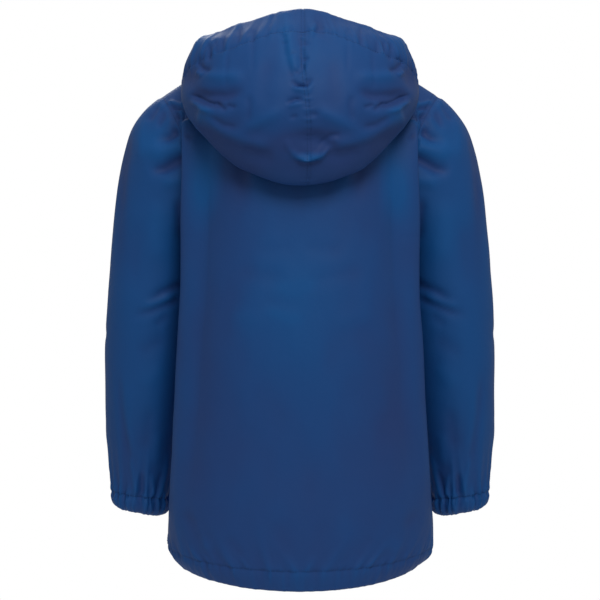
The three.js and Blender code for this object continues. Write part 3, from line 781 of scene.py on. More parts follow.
    def flat_size(self) -> tuple[tuple[float, float], float]:
        """The cut's width and length in metres and its flat area in square metres, folds spread out."""
        width, length = float(self.over[:, -1].max()), float(self.down[-1].max())
        across = np.diff(self.over, axis=1)
        if self.closed:
            heights = np.concatenate((self.down, self.down[:, :1]), 1)
        else:
            heights = self.down
        tall = np.diff((heights[:, 1:] + heights[:, :-1]) / 2, axis=0)
        wide = (across[1:] + across[:-1]) / 2
        share = float((tall * wide).sum()) / (width * length)
        width *= self.taken_up() * MM
        length *= MM
        return (width, length), min(share, 1) * width * length

    def build(self, finish: bpy.types.Material) -> bpy.types.Object:
        """Makes the shell and dresses it.

        Args:
            finish: The cloth's material.

        Returns:
            The finished piece, riding on the coat.
        """
        piece = Shell(self).build()
        piece.data.materials.append(finish)
        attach(piece, "coat")
        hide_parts(self.node)
        flat, area = self.flat_size()
        LOG.info("%s: cut %.0f by %.0f mm, %.4f m2", self.name, flat[0] / MM, flat[1] / MM, area)
        return piece


class Shell:
    """A panel's closed mesh: its outer and inner faces and what joins them at the edges."""

    ARC = 4

    def __init__(self, panel: Panel) -> None:
        """Collects the vertices, with the cloth's distances as their place on the weave."""
        self.panel = panel
        self.places: list[Array] = []
        self.marks: list[Array] = []
        self.quads: list[Array] = []
        self.weave: list[Array] = []
        self.caps: list[list[int]] = []
        self.count = 0
        self.flip = (panel.outward < 0) != panel.mirror

    def add(self, found: Array, inside: float, relief: Array, tone: Array) -> Array:
        """Adds points and gives their numbers, in the same layout."""
        ids = np.arange(self.count, self.count + found[..., 0].size).reshape(found.shape[:-1])
        self.count += ids.size
        self.places.append(found.reshape(-1, 3))
        # Marks: the inner face, the crease height (which the colour turns into painted shade in troughs and
        # painted highlights on ridges), and the painted light and shade
        marks = np.empty((ids.size, 3))
        marks[:, 0] = inside
        marks[:, 1] = np.broadcast_to(relief, ids.shape).ravel()
        marks[:, 2] = np.broadcast_to(tone, ids.shape).ravel()
        self.marks.append(marks)
        return ids

    def block(self, ids: Array, weave: Array, turned: bool) -> None:
        """Adds a grid of quads."""
        corners = [ids[:-1, :-1], ids[:-1, 1:], ids[1:, 1:], ids[1:, :-1]]
        spots = [weave[:-1, :-1], weave[:-1, 1:], weave[1:, 1:], weave[1:, :-1]]
        if turned != self.flip:
            corners, spots = corners[::-1], spots[::-1]
        self.quads.append(np.stack(corners, -1).reshape(-1, 4))
        self.weave.append(np.stack(spots, -2).reshape(-1, 4, 2))

    def wrapped(self, ids: Array) -> Array:
        """Repeats a closed panel's first column at the end."""
        return np.concatenate((ids, ids[:, :1]), 1) if self.panel.closed else ids

    def edge_strip(self, edge: Edge, outer: Array, inner: Array, weave: Array, turned: bool) -> None:
        """Joins the outer and the inner face along an edge, flat at a seam and round where it is free."""
        panel = self.panel
        rows = {Edge.FIRST: (0, 1), Edge.LAST: (-1, -2), Edge.LEFT: (0, 1), Edge.RIGHT: (-1, -2)}[edge]
        across = edge in (Edge.LEFT, Edge.RIGHT)
        pick = (lambda grid, k: grid[:, k]) if across else (lambda grid, k: grid[k])
        ring = [pick(outer, rows[0])]
        if panel.joins.get(edge) is Join.FREE:
            out_points, in_points = pick(panel.outer, rows[0]), pick(panel.inner, rows[0])
            middle, radius = (out_points + in_points) / 2, (out_points - in_points) / 2
            onward = unit(pick(panel.base, rows[0]) - pick(panel.base, rows[1]))
            onward = onward * np.linalg.norm(radius, axis=-1, keepdims=True)
            for k in range(1, self.ARC):
                angle = math.pi * k / self.ARC
                arc = middle + radius * math.cos(angle) + onward * math.sin(angle)
                ids = self.add(arc, 0.0, np.zeros(len(arc)), pick(panel.tone, rows[0]))
                ring.append(self.wrapped(ids[None])[0] if not across else ids)
        ring.append(pick(inner, rows[0]))
        if not panel.closed and len(ring) > 2:
            ends = [[int(r[0]) for r in ring], [int(r[-1]) for r in ring]]
            first_turned = turned != self.flip
            self.caps.append(ends[0] if not first_turned else ends[0][::-1])
            self.caps.append(ends[1][::-1] if not first_turned else ends[1])
        spots = np.repeat(pick(weave, rows[0])[None], len(ring), 0)
        self.block(np.stack(ring), spots, turned)

    def build(self) -> bpy.types.Object:
        """Makes the mesh with its weave map and its marks."""
        panel = self.panel
        outer = self.wrapped(self.add(panel.outer, 0.0, panel.raised, panel.tone))
        inner = self.wrapped(self.add(panel.inner, 1.0, panel.raised, panel.tone))
        down = np.concatenate((panel.down, panel.down[:, :1]), 1) if panel.closed else panel.down
        middle = panel.over[:, -1:] / 2
        weave = np.stack((panel.over - middle, down), -1) * MM
        self.block(outer, weave, False)
        self.block(inner, weave, True)
        self.edge_strip(Edge.FIRST, outer, inner, weave, True)
        self.edge_strip(Edge.LAST, outer, inner, weave, False)
        if not panel.closed:
            self.edge_strip(Edge.LEFT, outer, inner, weave, False)
            self.edge_strip(Edge.RIGHT, outer, inner, weave, True)
        return self.mesh_object()

    def mesh_object(self) -> bpy.types.Object:
        """Turns what was collected into an object."""
        places = np.concatenate(self.places) * MM
        quads = np.concatenate(self.quads)
        mesh = bpy.data.meshes.new(self.panel.name)
        mesh.from_pydata(places.tolist(), [], quads.tolist() + self.caps)
        spots = np.concatenate(self.weave).reshape(-1, 2)
        capped = sum(len(cap) for cap in self.caps)
        spots = np.concatenate((spots, np.zeros((capped, 2))))
        layer = mesh.uv_layers.new(name="weave")
        layer.data.foreach_set("uv", spots.astype(np.float32).ravel())
        marks = np.concatenate(self.marks).astype(np.float32)
        for k, name in enumerate(("inside", "relief", "tone")):
            attribute = mesh.attributes.new(name, "FLOAT", "POINT")
            attribute.data.foreach_set("value", np.ascontiguousarray(marks[:, k]))
        mesh.shade_smooth()
        mesh.set_sharp_from_angle(angle=math.radians(62))
        piece = bpy.data.objects.new(self.panel.name, mesh)
        bpy.context.scene.collection.objects.link(piece)
        return piece


def spaced(start: float, *stops: tuple[float, int]) -> Array:
    """Values from a start through stops, each reached in its own number of even steps."""
    found = [np.array([start], float)]
    for stop, count in stops:
        found.append(np.linspace(found[-1][-1], stop, count + 1)[1:])
    return np.concatenate(found)


@dataclass(frozen=True)
class Detail:
    """How many steps the grids take along each part of the coat."""

    body_across: int = 92
    hem_rows: int = 18
    skirt_rows: int = 96
    yoke_rows: int = 84
    sleeve_around: int = 150
    sleeve_rows: int = 104
    wrist_rows: int = 44
    cuff_rows: int = 16
    hood_back: int = 150
    hood_front: int = 44
    hood_hidden_rows: int = 34
    hood_rows: int = 132
    casing_rows: int = 16

    def body_heights(self) -> Array:
        """Panel heights, close together by the casing and even up the yoke."""
        skirt = spaced(0, (0.11, self.hem_rows), (1, self.skirt_rows))
        t = np.linspace(0, 1, self.yoke_rows + 1)[1:]
        return np.concatenate((skirt, 1 + 0.6 * np.arccos(1 - 2 * t) / math.pi + 0.4 * t))


HOOD_CREASES = (
    Crease(((15, 22), (10, -14), (4, -46)), 4.6, 2.0, side=Side.LEFT, ends=(0, 0.2)),
    Crease(((17, 2), (14, -22), (7, -48)), 1.8, -1.6, Form.CRISP, side=Side.LEFT, ends=(0.3, 0.1)),
    Crease(((1, 4), (-1, -18), (-2, -44)), 1.6, -1.5, Form.CRISP, side=Side.LEFT, ends=(0.3, 0.1)),
    Crease(((-16, 16), (-13, 2), (-8, -10)), 2.2, 1.6, side=Side.LEFT, ends=(0.3, 0.3)),
    Crease(((-9, -16), (-9, -30), (-6, -44)), 2.6, 0.9, side=Side.LEFT, ends=(0.4, 0.3)),
    Crease(((14, -6), (20, 2)), 1.5, -1.5, Form.CRISP, side=Side.LEFT),
    Crease(((11, -12), (18, -9)), 1.5, -1.2, Form.CRISP, side=Side.LEFT),
    Crease(((-3, -8), (-8, -15)), 1.5, -1.4, Form.CRISP, side=Side.LEFT),
    Crease(((9, -46), (4, -54), (-7, -54), (-12, -45)), 2.0, -3.2, Form.CRISP, side=Side.LEFT),
    Crease(((9, -51), (3, -58), (-8, -58), (-14, -49)), 2.4, 2.2, side=Side.LEFT),
    Crease(((6, -38), (-1, -44)), 1.5, -1.8, Form.CRISP, side=Side.LEFT),
    Crease(((-2, -30), (-10, -26)), 1.5, -1.6, Form.CRISP, side=Side.LEFT),
    Crease(((4, -20), (12, -26)), 1.5, -1.5, Form.CRISP, side=Side.LEFT),
    Crease(((14, -2), (7, 8)), 1.6, -1.4, side=Side.LEFT),
    Crease(((-12, 0), (-20, 8)), 1.6, -1.4, side=Side.LEFT),
    Crease(((-18, 18), (-21, 4)), 1.8, -1.2, side=Side.LEFT),
    Crease(((14, -72), (4, -67), (-4, -69)), 2.0, -2.6, Form.CRISP, side=Side.LEFT),
    Crease(((12, -76), (3, -72), (-3, -74)), 2.4, 1.6, side=Side.LEFT),
    Crease(((10, -86), (2, -83)), 1.8, -1.8, Form.CRISP, side=Side.LEFT),
    Crease(((-18, -84), (-9, -80)), 1.8, -1.4, Form.CRISP, side=Side.LEFT),
    Swell((-14, -106), (18, 9), -5.0, 8, side=Side.LEFT),
    Crease(((9, -114), (4, -121), (-6, -124), (-20, -120), (-34, -109)), 3.0, 4.6, side=Side.LEFT),
    Crease(((8, -119), (0, -127), (-12, -128), (-26, -123)), 2.0, -1.8, Form.CRISP, side=Side.LEFT),
    Crease(((-16, -114), (-30, -103), (-42, -99)), 1.8, -2.2, Form.CRISP, side=Side.LEFT),
    Crease(((14, -104), (10, -114), (2, -122)), 2.6, 1.8, side=Side.LEFT),
    Crease(((-26, -108), (-38, -104)), 3.0, 1.6, side=Side.LEFT),
    Crease(((102, -38), (78, -43), (50, -44)), 6, 2.2),
    Crease(((110, -53), (92, -60), (72, -62), (52, -56)), 5.5, -3.6),
    Crease(((113, -54), (94, -66), (76, -73)), 2.4, -4.2, Form.CRISP),
    Crease(((112, -60), (96, -71), (82, -78)), 2.8, 3.0),
    Crease(((86, -66), (70, -78)), 1.8, -2.8, Form.CRISP),
    Crease(((74, -70), (61, -75)), 1.6, -2.2, Form.CRISP),
    Crease(((90, -78), (74, -90), (58, -94)), 2.6, -1.6),
    Swell((102, 2), (11, 9), 3.0, face=Face.ALL),
    Swell((113, -38), (10, 13), -4.0, face=Face.ALL),
    Swell((70, 20), (9, 8), 1.6, face=Face.ALL),
    Crease(((105, -68), (84, -78), (62, -84)), 6, 1.8),
    Crease(((51, -60), (49, -74), (52, -90)), 3.2, -1.3),
    Crease(((104, -75), (88, -86), (70, -98), (48, -107), (24, -112)), 6.5, 3.4, ends=(0.1, 0.2)),
    Crease(((69, -100), (48, -93), (27, -83), (12, -72)), 6, 1.7),
    Crease(((60, -112), (40, -120), (22, -122)), 7, -1.8),
    Crease(((71, -14), (72, -60)), 2.0, -0.7),
    Crease(((46, -4), (46, -44)), 2.0, -0.6),
    Crease(((30, -20), (34, -60), (30, -84)), 9, -1.2),
    Crease(((91, -2), (90, -27)), 1.7, -2.4, Form.CRISP),
    Crease(((84, 0), (83, -18)), 1.7, -1.9, Form.CRISP),
    Crease(((77, 2), (76, -20)), 1.7, -1.9, Form.CRISP),
    Crease(((60, 14), (60, -14)), 1.7, -1.7, Form.CRISP),
    Crease(((47, 10), (46, -12)), 1.6, -1.3, Form.CRISP),
    Crease(((98, -16), (104, -27)), 1.8, -2.2, Form.CRISP),
    Crease(((105, -22), (97, -31), (86, -36)), 2.6, -3.0, Form.CRISP),
    Crease(((106, -32), (96, -40)), 2.6, 1.8),
    Crease(((112, -84), (96, -98), (80, -112)), 6, -1.2),
)

BACK_CREASES = (
    Crease(((59, -104), (60, -172)), 7, -1.7, ends=(0, 0.6)),
    Crease(((48, -110), (43, -172)), 7, 1.2, ends=(0, 0.6)),
    Crease(((28, -120), (26, -175)), 8, -0.9, ends=(0, 0.6)),
    Crease(((88, -104), (93, -140), (100, -186)), 12, 2.2, ends=(0, 0.6)),
    Crease(((120, -46), (123, -58), (124, -76), (123, -124)), 3.0, 3.0, ends=(0, 0.6)),
    Crease(((121, -50), (116, -60), (112, -70)), 2.2, 2.8, ends=(0, 0.3)),
    Crease(((119, -54), (119, -66)), 1.8, -2.4, Form.CRISP),
    Crease(((126, -75), (120, -70), (111, -65)), 1.8, -3.4, Form.CRISP),
    Crease(((124, -82), (117, -77), (110, -76)), 2.8, 2.4),
    Crease(((121, -90), (113, -92)), 2.0, -1.4, Form.CRISP),
    Crease(((119, -92), (110, -96)), 2.0, -1.8, Form.CRISP),
    Crease(((143, -50), (120, -58)), 2.8, 2.6),
    Crease(((141, -55), (118, -63)), 2.2, -3.0, Form.CRISP),
    Crease(((139, -66), (122, -71)), 2.2, -3.0, Form.CRISP),
    Crease(((134, -60), (120, -66)), 2.4, 2.0),
    Crease(((136, -73), (124, -79)), 2.0, -2.2, Form.CRISP),
    Crease(((48, -213), (0, -209)), 8, -0.6),
    Crease(((70, -231), (30, -238), (4, -246)), 9, -0.7),
    Crease(((42, -262), (-6, -268)), 8, -0.6, side=Side.LEFT),
    Crease(((30, -286), (76, -276)), 10, 0.6),
    Crease(((124, -476), (96, -514)), 7, -1.6),
    Crease(((112, -490), (88, -522)), 6, 1.2),
    Crease(((76, -500), (58, -526)), 7, -0.8),
    Crease(((110, -200), (114, -330), (120, -420)), 10, 0.9),
    Crease(((96, -240), (99, -360), (104, -440)), 12, -0.9),
    Crease(((20, -480), (14, -530)), 9, -0.6),
    Swell((0, -280), (60, 90), 1.6),
)

FRONT_CREASES = (
    Crease(((124, -70), (96, -84), (60, -92)), 7, -1.8, face=Face.FRONT),
    Crease(((122, -92), (92, -112), (66, -140)), 8, -1.8, face=Face.FRONT),
    Crease(((116, -112), (88, -134)), 6, 1.6, face=Face.FRONT),
    Crease(((30, -110), (26, -180)), 8, -1.0, face=Face.FRONT),
    Crease(((100, -210), (104, -330), (112, -430)), 10, -1.6, face=Face.FRONT),
    Crease(((84, -240), (86, -350), (94, -450)), 11, 1.2, face=Face.FRONT),
    Crease(((56, -300), (28, -316), (10, -322)), 8, -0.8, face=Face.FRONT),
    Crease(((66, -360), (36, -372), (12, -384)), 9, -0.8, face=Face.FRONT),
    Crease(((110, -474), (90, -508)), 7, -1.2, face=Face.FRONT),
    Crease(((50, -484), (42, -514)), 7, -0.9, face=Face.FRONT),
    Crease(((16, -150), (13, -300), (16, -470)), 9, -0.7, face=Face.FRONT),
)

SLEEVE_CREASES = (
    Crease(((120, -76), (134, -91), (154, -98)), 6, -5.0, ends=(0, 0.5)),
    Crease(((122, -101), (148, -107), (168, -102)), 8, 3.8, ends=(0, 0.5)),
    Crease(((122, -113), (142, -124), (162, -127)), 5.5, -5.0, ends=(0, 0.5)),
    Crease(((126, -136), (150, -140)), 7, 2.4, ends=(0, 0.6)),
    Crease(((124, -84), (136, -84)), 2.0, -2.0, Form.CRISP, ends=(0, 0.4)),
    Crease(((122, -90), (138, -96)), 2.2, 1.6, ends=(0, 0.4)),
    Crease(((166, -62), (168, -90), (166, -120)), 6, 1.2),
    Crease(((180, -70), (188, -120), (191, -180)), 5, -1.4),
    Crease(((150, -52), (162, -74)), 4, -1.6),
    Crease(((142, -58), (150, -84)), 3.4, -1.5),
    Crease(((128, -150), (124, -204)), 6, -2.4),
    Crease(((152, -150), (148, -230)), 12, 1.6),
    Crease(((172, -170), (176, -260)), 9, -1.0),
    Crease(((126, -245), (146, -254), (166, -266)), 5, -2.6, ends=(0, 0.5)),
    Crease(((128, -254), (150, -264), (172, -272)), 4.5, 2.0),
    Crease(((132, -262), (156, -272), (184, -280)), 4.5, -2.4, ends=(0, 0.5)),
    Crease(((138, -276), (156, -290)), 4.5, -1.2),
    Crease(((140, -300), (176, -322)), 8, -1.1),
    Crease(((144, -330), (170, -356)), 9, 1.0),
    Crease(((195, -330), (193, -380), (184, -451)), 4, -1.3),
    Crease(((186, -340), (183, -400), (176, -448)), 5, 0.9),
    Crease(((160, -372), (168, -430)), 7, -1.2),
    Crease(((152, -400), (158, -446)), 6, 1.2),
    Crease(((184, -426), (178, -468)), 3.2, 1.8, ends=(0.4, 0)),
    Crease(((172, -446), (171, -470)), 2.6, -1.6, ends=(0.4, 0)),
    Crease(((162, -448), (160, -472)), 2.6, 1.6, ends=(0.4, 0)),
    Crease(((150, -444), (156, -472)), 2.6, -1.8, ends=(0.4, 0)),
    Crease(((142, -424), (152, -472)), 3.2, 1.8, ends=(0.4, 0)),
    Crease(((122, -100), (150, -116)), 7, -2.6, face=Face.FRONT),
    Crease(((124, -128), (160, -136)), 7, -2.2, face=Face.FRONT),
    Crease(((124, -140), (150, -146)), 8, 1.6, face=Face.FRONT),
    Crease(((132, -250), (176, -280)), 7, -1.8, face=Face.FRONT),
    Crease(((134, -276), (182, -300)), 7, -1.6, face=Face.FRONT),
    Crease(((140, -300), (172, -330)), 8, 1.2, face=Face.FRONT),
    Crease(((190, -330), (178, -440)), 6, -1.2, face=Face.FRONT),
    Crease(((164, -380), (162, -460)), 6, -1.2, face=Face.FRONT),
    Crease(((-26, -120), (-8, -230), (-20, -330)), 8, -1.1, face=Face.OUTER),
    Crease(((12, -110), (10, -240)), 9, 1.0, face=Face.OUTER),
    Crease(((-44, -280), (-20, -300), (6, -296)), 6, -1.0, face=Face.OUTER),
    Crease(((-50, -380), (-36, -460)), 5, -1.1, face=Face.OUTER),
    Crease(((-24, -390), (-34, -466)), 4.5, 1.2, face=Face.OUTER),
)


# Painted light and shade on the cloth's colour: lighter (painted light) where above 0 and more purple
# (painted shade) where below it
# On the hood: painted light over its top, painted shade along and below its widest line where the cloth turns
# under, and painted highlights and shade on its pleats and dents
HOOD_PAINTED_LIGHT_AND_SHADE = (
    Swell((0, -22), (95, 46), 0.4),
    Crease(((0, -112), (24, -110), (48, -105), (70, -96), (88, -84), (104, -70)), 34, -1.2, Form.LIP,
           ends=(0, 0.25)),
    Swell((92, -100), (26, 16), -0.45),
    Crease(((15, 16), (14, -18), (9, -44)), 6, 0.8, side=Side.LEFT),
    Crease(((-13, 12), (-15, -16), (-12, -42)), 3, 0.2, side=Side.LEFT),
    Crease(((111, -55), (93, -65), (76, -72)), 4, -1.3),
    Crease(((108, -50), (92, -58), (80, -61)), 5, -0.5),
    Crease(((104, -70), (74, -92), (44, -104)), 7, 0.45),
    Swell((-9, -121), (15, 4.0), 1.9, side=Side.LEFT),
    Swell((-13, -108), (14, 7), -0.8, side=Side.LEFT),
    Swell((14, -104), (10, 9), -0.5, side=Side.LEFT),
)
# On the back: painted light in patches below the hood and in the middle, painted shade under the hood,
# towards the sides and above the hem
BACK_PAINTED_LIGHT_AND_SHADE = (
    Swell((6, -238), (44, 58), 0.75, side=Side.LEFT),
    Crease(((34, -246), (6, -250), (-24, -242)), 6, 0.4, side=Side.LEFT),
    Crease(((40, -268), (14, -278), (-8, -282)), 6, 0.4, side=Side.LEFT),
    Swell((101, -146), (13, 32), 1.5),
    Swell((62, -140), (16, 34), -0.45),
    Swell((30, -150), (14, 30), 0.2),
    Swell((88, -400), (30, 130), -0.5),
    Swell((36, -528), (70, 26), -0.35),
)
# On the sleeves: painted light over most of the sleeve, painted shade in patches by the armhole, down its
# outer side and above the cuff
SLEEVE_PAINTED_LIGHT_AND_SHADE = (
    Swell((150, -94), (20, 13), 0.6),
    Swell((140, -70), (16, 8), -0.4),
    Swell((190, -150), (9, 90), -0.5),
    Swell((140, -170), (16, 50), 0.25),
    Swell((165, -270), (60, 240), 0.75),
    Swell((168, -450), (40, 50), -0.35),
)


@dataclass
class Coat:
    """The coat's cloth: a back, two fronts, two sleeves, a hood in two halves, and their casings."""

    form: CoatForm
    detail: Detail = field(default_factory=Detail)
    hem: Gathers = Gathers(Edge.FIRST, 5.6, 2.2, 9, 0.29, 0.8, 11, 0.8, mirrored=True)
    hem_long: Gathers = Gathers(Edge.FIRST, 20, 2.0, 30, 0.2, 0.6, 12, 0.8, mirrored=True)
    cuff: Gathers = Gathers(Edge.LAST, 6.0, 3.0, 15, 0.25, 0.1, 21, 0.7, 0.5)
    cuff_long: Gathers = Gathers(Edge.LAST, 12, 2.8, 54, 0.22, 0.0, 22, 0.7, 0.4)
    cuff_fine: Gathers = Gathers(Edge.LAST, 3.9, 1.5, 6, 0.3, 0.0, 23, 0.8, 0.3)
    rim: Gathers = Gathers(Edge.LAST, 9, 1.9, 7, 0.2, 0.0, 31, 0.8)
    panels: dict[str, Panel] = field(default_factory=dict)

    def back_surface(self, make: Callable[[Array, Array], Array]) -> Surface:
        """A surface from side to side, made from one for half of it."""

        def surface(columns: Array, rows: Array) -> Array:
            """The half's points, mirrored where the column is below 0."""
            columns, rows = np.broadcast_arrays(columns, rows)
            found = make(np.abs(columns), rows)
            found[..., 0] *= np.where(columns < 0, -1, 1)
            return found

        return surface

    def lay_back(self) -> None:
        """The back and its hem casing, from side to side."""
        form, detail = self.form, self.detail
        columns = np.linspace(-1, 1, 2 * detail.body_across + 1)
        creases = (*BACK_CREASES, Rumple(0.34))
        casing_gathers = (self.hem.carried(Edge.LAST, 24), self.hem_long.carried(Edge.LAST, 10))
        self.panels["back"] = Panel(
            "back_cloth", "back", self.back_surface(lambda a, h: form.body(True, a, h)),
            columns, detail.body_heights(), -1,
            {Edge.FIRST: Join.STITCHED, Edge.LAST: Join.SEWN, Edge.LEFT: Join.SEWN, Edge.RIGHT: Join.SEWN},
            before=-0.006, creases=creases, gathers=(self.hem, self.hem_long),
            tones=BACK_PAINTED_LIGHT_AND_SHADE, calm=2.5, rests_on=("sleeve_left", "sleeve_right"), **BODY_SEAMS,
        )
        self.panels["hem_back"] = Panel(
            "hem_casing_back", "hem_back", self.back_surface(lambda a, p: form.skirt(True, a, p)),
            columns, np.linspace(form.body_end, form.casing_row, detail.casing_rows + 1), -1,
            {Edge.FIRST: Join.FREE, Edge.LAST: Join.STITCHED, Edge.LEFT: Join.SEWN, Edge.RIGHT: Join.SEWN},
            after=form.casing_row - 0.04, creases=creases, gathers=casing_gathers,
            tones=BACK_PAINTED_LIGHT_AND_SHADE[-2:], rests_on=("back",), **BODY_SEAMS, **HEM_FOLD,
        )

    def lay_half(self, mirror: bool) -> None:
        """A front, a sleeve and half the hood, with their casings, on one side."""
        self.lay_front(mirror)
        self.lay_sleeve(mirror)
        self.lay_hood(mirror)

    def lay_front(self, mirror: bool) -> None:
        """A front and its hem casing."""
        form, detail = self.form, self.detail
        side = "right" if mirror else "left"
        columns = np.linspace(0, 1, int(detail.body_across * 0.92) + 1)
        hem = Gathers(Edge.FIRST, 8.5, 1.8, 13, 0.27, 0.5, 13 + mirror, 0.8)
        zip_pull = Gathers(Edge.LEFT, 17, 0.5, 12, 0.3, 0.0, 17 + mirror)
        creases = (*FRONT_CREASES, Rumple(0.32, seed=7 + mirror))
        self.panels[f"front_{side}"] = Panel(
            f"front_cloth_{side}", f"front_{side}", lambda a, h: form.body(False, a, h),
            columns, detail.body_heights(), 1,
            {Edge.FIRST: Join.STITCHED, Edge.LAST: Join.SEWN, Edge.LEFT: Join.FREE, Edge.RIGHT: Join.SEWN},
            before=-0.006, creases=creases, gathers=(hem, zip_pull), tones=BACK_PAINTED_LIGHT_AND_SHADE[-2:],
            mirror=mirror, rests_on=(f"sleeve_{side}", "back"), **BODY_SEAMS,
        )
        self.panels[f"hem_front_{side}"] = Panel(
            f"hem_casing_front_{side}", f"hem_front_{side}", lambda a, p: form.skirt(False, a, p),
            columns, np.linspace(form.body_end, form.casing_row, detail.casing_rows + 1), 1,
            {Edge.FIRST: Join.FREE, Edge.LAST: Join.STITCHED, Edge.LEFT: Join.FREE, Edge.RIGHT: Join.SEWN},
            after=form.casing_row - 0.04, creases=creases, gathers=(hem.carried(Edge.LAST, 24),),
            tones=BACK_PAINTED_LIGHT_AND_SHADE[-2:], mirror=mirror, rests_on=(f"front_{side}",), **BODY_SEAMS, **HEM_FOLD,
        )

    def lay_sleeve(self, mirror: bool) -> None:
        """A sleeve and its elastic cuff."""
        form, detail = self.form, self.detail
        side = "right" if mirror else "left"
        columns = np.arange(detail.sleeve_around) / detail.sleeve_around
        rows = spaced(0, (9.6, detail.sleeve_rows), (form.cuff_row, detail.wrist_rows))
        casing_gathers = (
            self.cuff.carried(Edge.FIRST, 40),
            self.cuff_long.carried(Edge.FIRST, 14),
            self.cuff_fine.carried(Edge.FIRST, 24),
        )
        armhole = Gathers(Edge.FIRST, 6.5, 2.4, 9, 0.26, 0.4, 61, 0.8)
        creases = (*SLEEVE_CREASES, Rumple(0.34, seed=5))

        def tube(c: Array, p: Array) -> Array:
            """The sleeve's surface by the share of the way round."""
            return form.sleeve(2 * math.pi * c, p)

        self.panels[f"sleeve_{side}"] = Panel(
            f"sleeve_cloth_{side}", f"sleeve_{side}", tube, columns, rows, -1,
            {Edge.FIRST: Join.SEWN, Edge.LAST: Join.STITCHED}, closed=True, after=form.cuff_row + 0.05,
            creases=creases, gathers=(self.cuff, self.cuff_long, self.cuff_fine, armhole),
            tones=SLEEVE_PAINTED_LIGHT_AND_SHADE, pillow=1.0, pillow_reach=2.0, calm=2.5,
            mirror=mirror, rests_on=("back", f"front_{side}"),
        )
        self.panels[f"cuff_{side}"] = Panel(
            f"cuff_casing_{side}", f"cuff_{side}", tube, columns,
            np.linspace(form.cuff_row, form.sleeve_end, detail.cuff_rows + 1), -1,
            {Edge.FIRST: Join.STITCHED, Edge.LAST: Join.FREE}, closed=True, before=form.cuff_row - 0.05,
            creases=creases, gathers=casing_gathers, tones=SLEEVE_PAINTED_LIGHT_AND_SHADE, pillow=2.4, pillow_reach=3.5,
            turn_in=(8, 11), wall=CASING_WALL, held="gathered", mirror=mirror,
            rests_on=(f"sleeve_{side}",),
        )

    def lay_hood(self, mirror: bool) -> None:
        """Half the hood and half the casing round its face opening."""
        form, detail = self.form, self.detail
        side = "right" if mirror else "left"
        columns = spaced(0, (0.5, detail.hood_back), (1, detail.hood_front))
        seam_pucker = Gathers(Edge.LEFT, 4.4, 1.5, 4, 0.26, 0.2, 41, 0.8)
        creases = (*HOOD_CREASES, Rumple(0.36, 80, 18, seed=9))

        def bag(c: Array, p: Array) -> Array:
            """The hood below its casing seam, by the share of the way from the back to the zip."""
            return form.hood(form.neck_angle(c), p * form.rim_seam(c) / form.hood_seam)

        def rim(c: Array, p: Array) -> Array:
            """The casing round the face opening."""
            share = (form.hood_end - p) / (form.hood_end - form.hood_seam)
            return form.hood(form.neck_angle(c), form.hood_end - share * (form.hood_end - form.rim_seam(c)))

        edges = {Edge.LEFT: Join.MATCHED, Edge.RIGHT: Join.FREE}
        self.panels[f"hood_{side}"] = Panel(
            f"hood_cloth_{side}", f"hood_{side}", bag, columns,
            spaced(0, (1.7, detail.hood_hidden_rows), (form.hood_seam, detail.hood_rows)), -1,
            {**edges, Edge.FIRST: Join.SEWN, Edge.LAST: Join.STITCHED}, after=form.hood_seam + 0.02,
            creases=creases, gathers=(self.rim, seam_pucker),
            tones=HOOD_PAINTED_LIGHT_AND_SHADE, pillow_reach=1.6, calm=2.2, mirror=mirror, drift=form.drifted,
            rests_on=("back", f"front_{side}"),
        )
        self.panels[f"hood_casing_{side}"] = Panel(
            f"hood_casing_cloth_{side}", f"hood_casing_{side}", rim, columns,
            np.linspace(form.hood_seam, form.hood_end, detail.casing_rows + 1), -1,
            {**edges, Edge.FIRST: Join.STITCHED, Edge.LAST: Join.FREE}, before=form.hood_seam - 0.02,
            creases=creases, gathers=(self.rim.carried(Edge.FIRST, 40),), tones=HOOD_PAINTED_LIGHT_AND_SHADE, calm=2.2,
            turn_in=(1.6, 5), pillow_reach=1.6, wall=CASING_WALL, mirror=mirror, drift=form.drifted,
            rests_on=(f"hood_{side}",),
        )

    def build(self, finish: bpy.types.Material) -> None:
        """Lays every panel and makes its piece."""
        self.lay_back()
        self.lay_half(False)
        self.lay_half(True)
        for panel in self.panels.values():
            panel.build(finish)

    def stitch_lines(self) -> list[Array]:
        """The lines of topstitching on the finished cloth, in millimetres."""
        lines = []
        beside, in_the_dip, doubled = 1.4, 1.8, 6.2
        for name, panel in self.panels.items():
            if name in ("back", "front_left", "front_right"):
                armhole = panel.rows >= 1
                sides = (Edge.RIGHT, Edge.LEFT) if name == "back" else (Edge.RIGHT,)
                for side in sides:
                    for distance in (beside, doubled):
                        lines.append(panel.row_beside(side, distance)[armhole])
                lines.append(panel.row_beside(Edge.FIRST, beside))
                lines.append(panel.row_beside(Edge.LAST, in_the_dip))
            if name.startswith("front") or name.startswith("hem_front"):
                lines.append(panel.row_beside(Edge.LEFT, beside))
                lines.append(panel.row_beside(Edge.LEFT, doubled))
            if name.startswith("sleeve") or name in ("hood_left", "hood_right"):
                lines.append(panel.row_beside(Edge.LAST, beside))
            if name in ("hood_left", "hood_right", "hood_casing_left", "hood_casing_right"):
                lines.append(panel.row_beside(Edge.LEFT, in_the_dip))
        return lines

    def middle_front(self) -> Array:
        """The zip's middle line, up the fronts' edges and the collar of the hood, in millimetres."""
        names = ("hem_front_left", "front_left", "hood_left", "hood_casing_left")
        parts = []
        for name in names:
            base = self.panels[name].base
            edge = base[:, -1] if "hood" in name else base[:, 0]
            parts.append(edge if not parts else edge[1:])
        line = np.concatenate(parts)
        line[:, 0] = 0
        return line


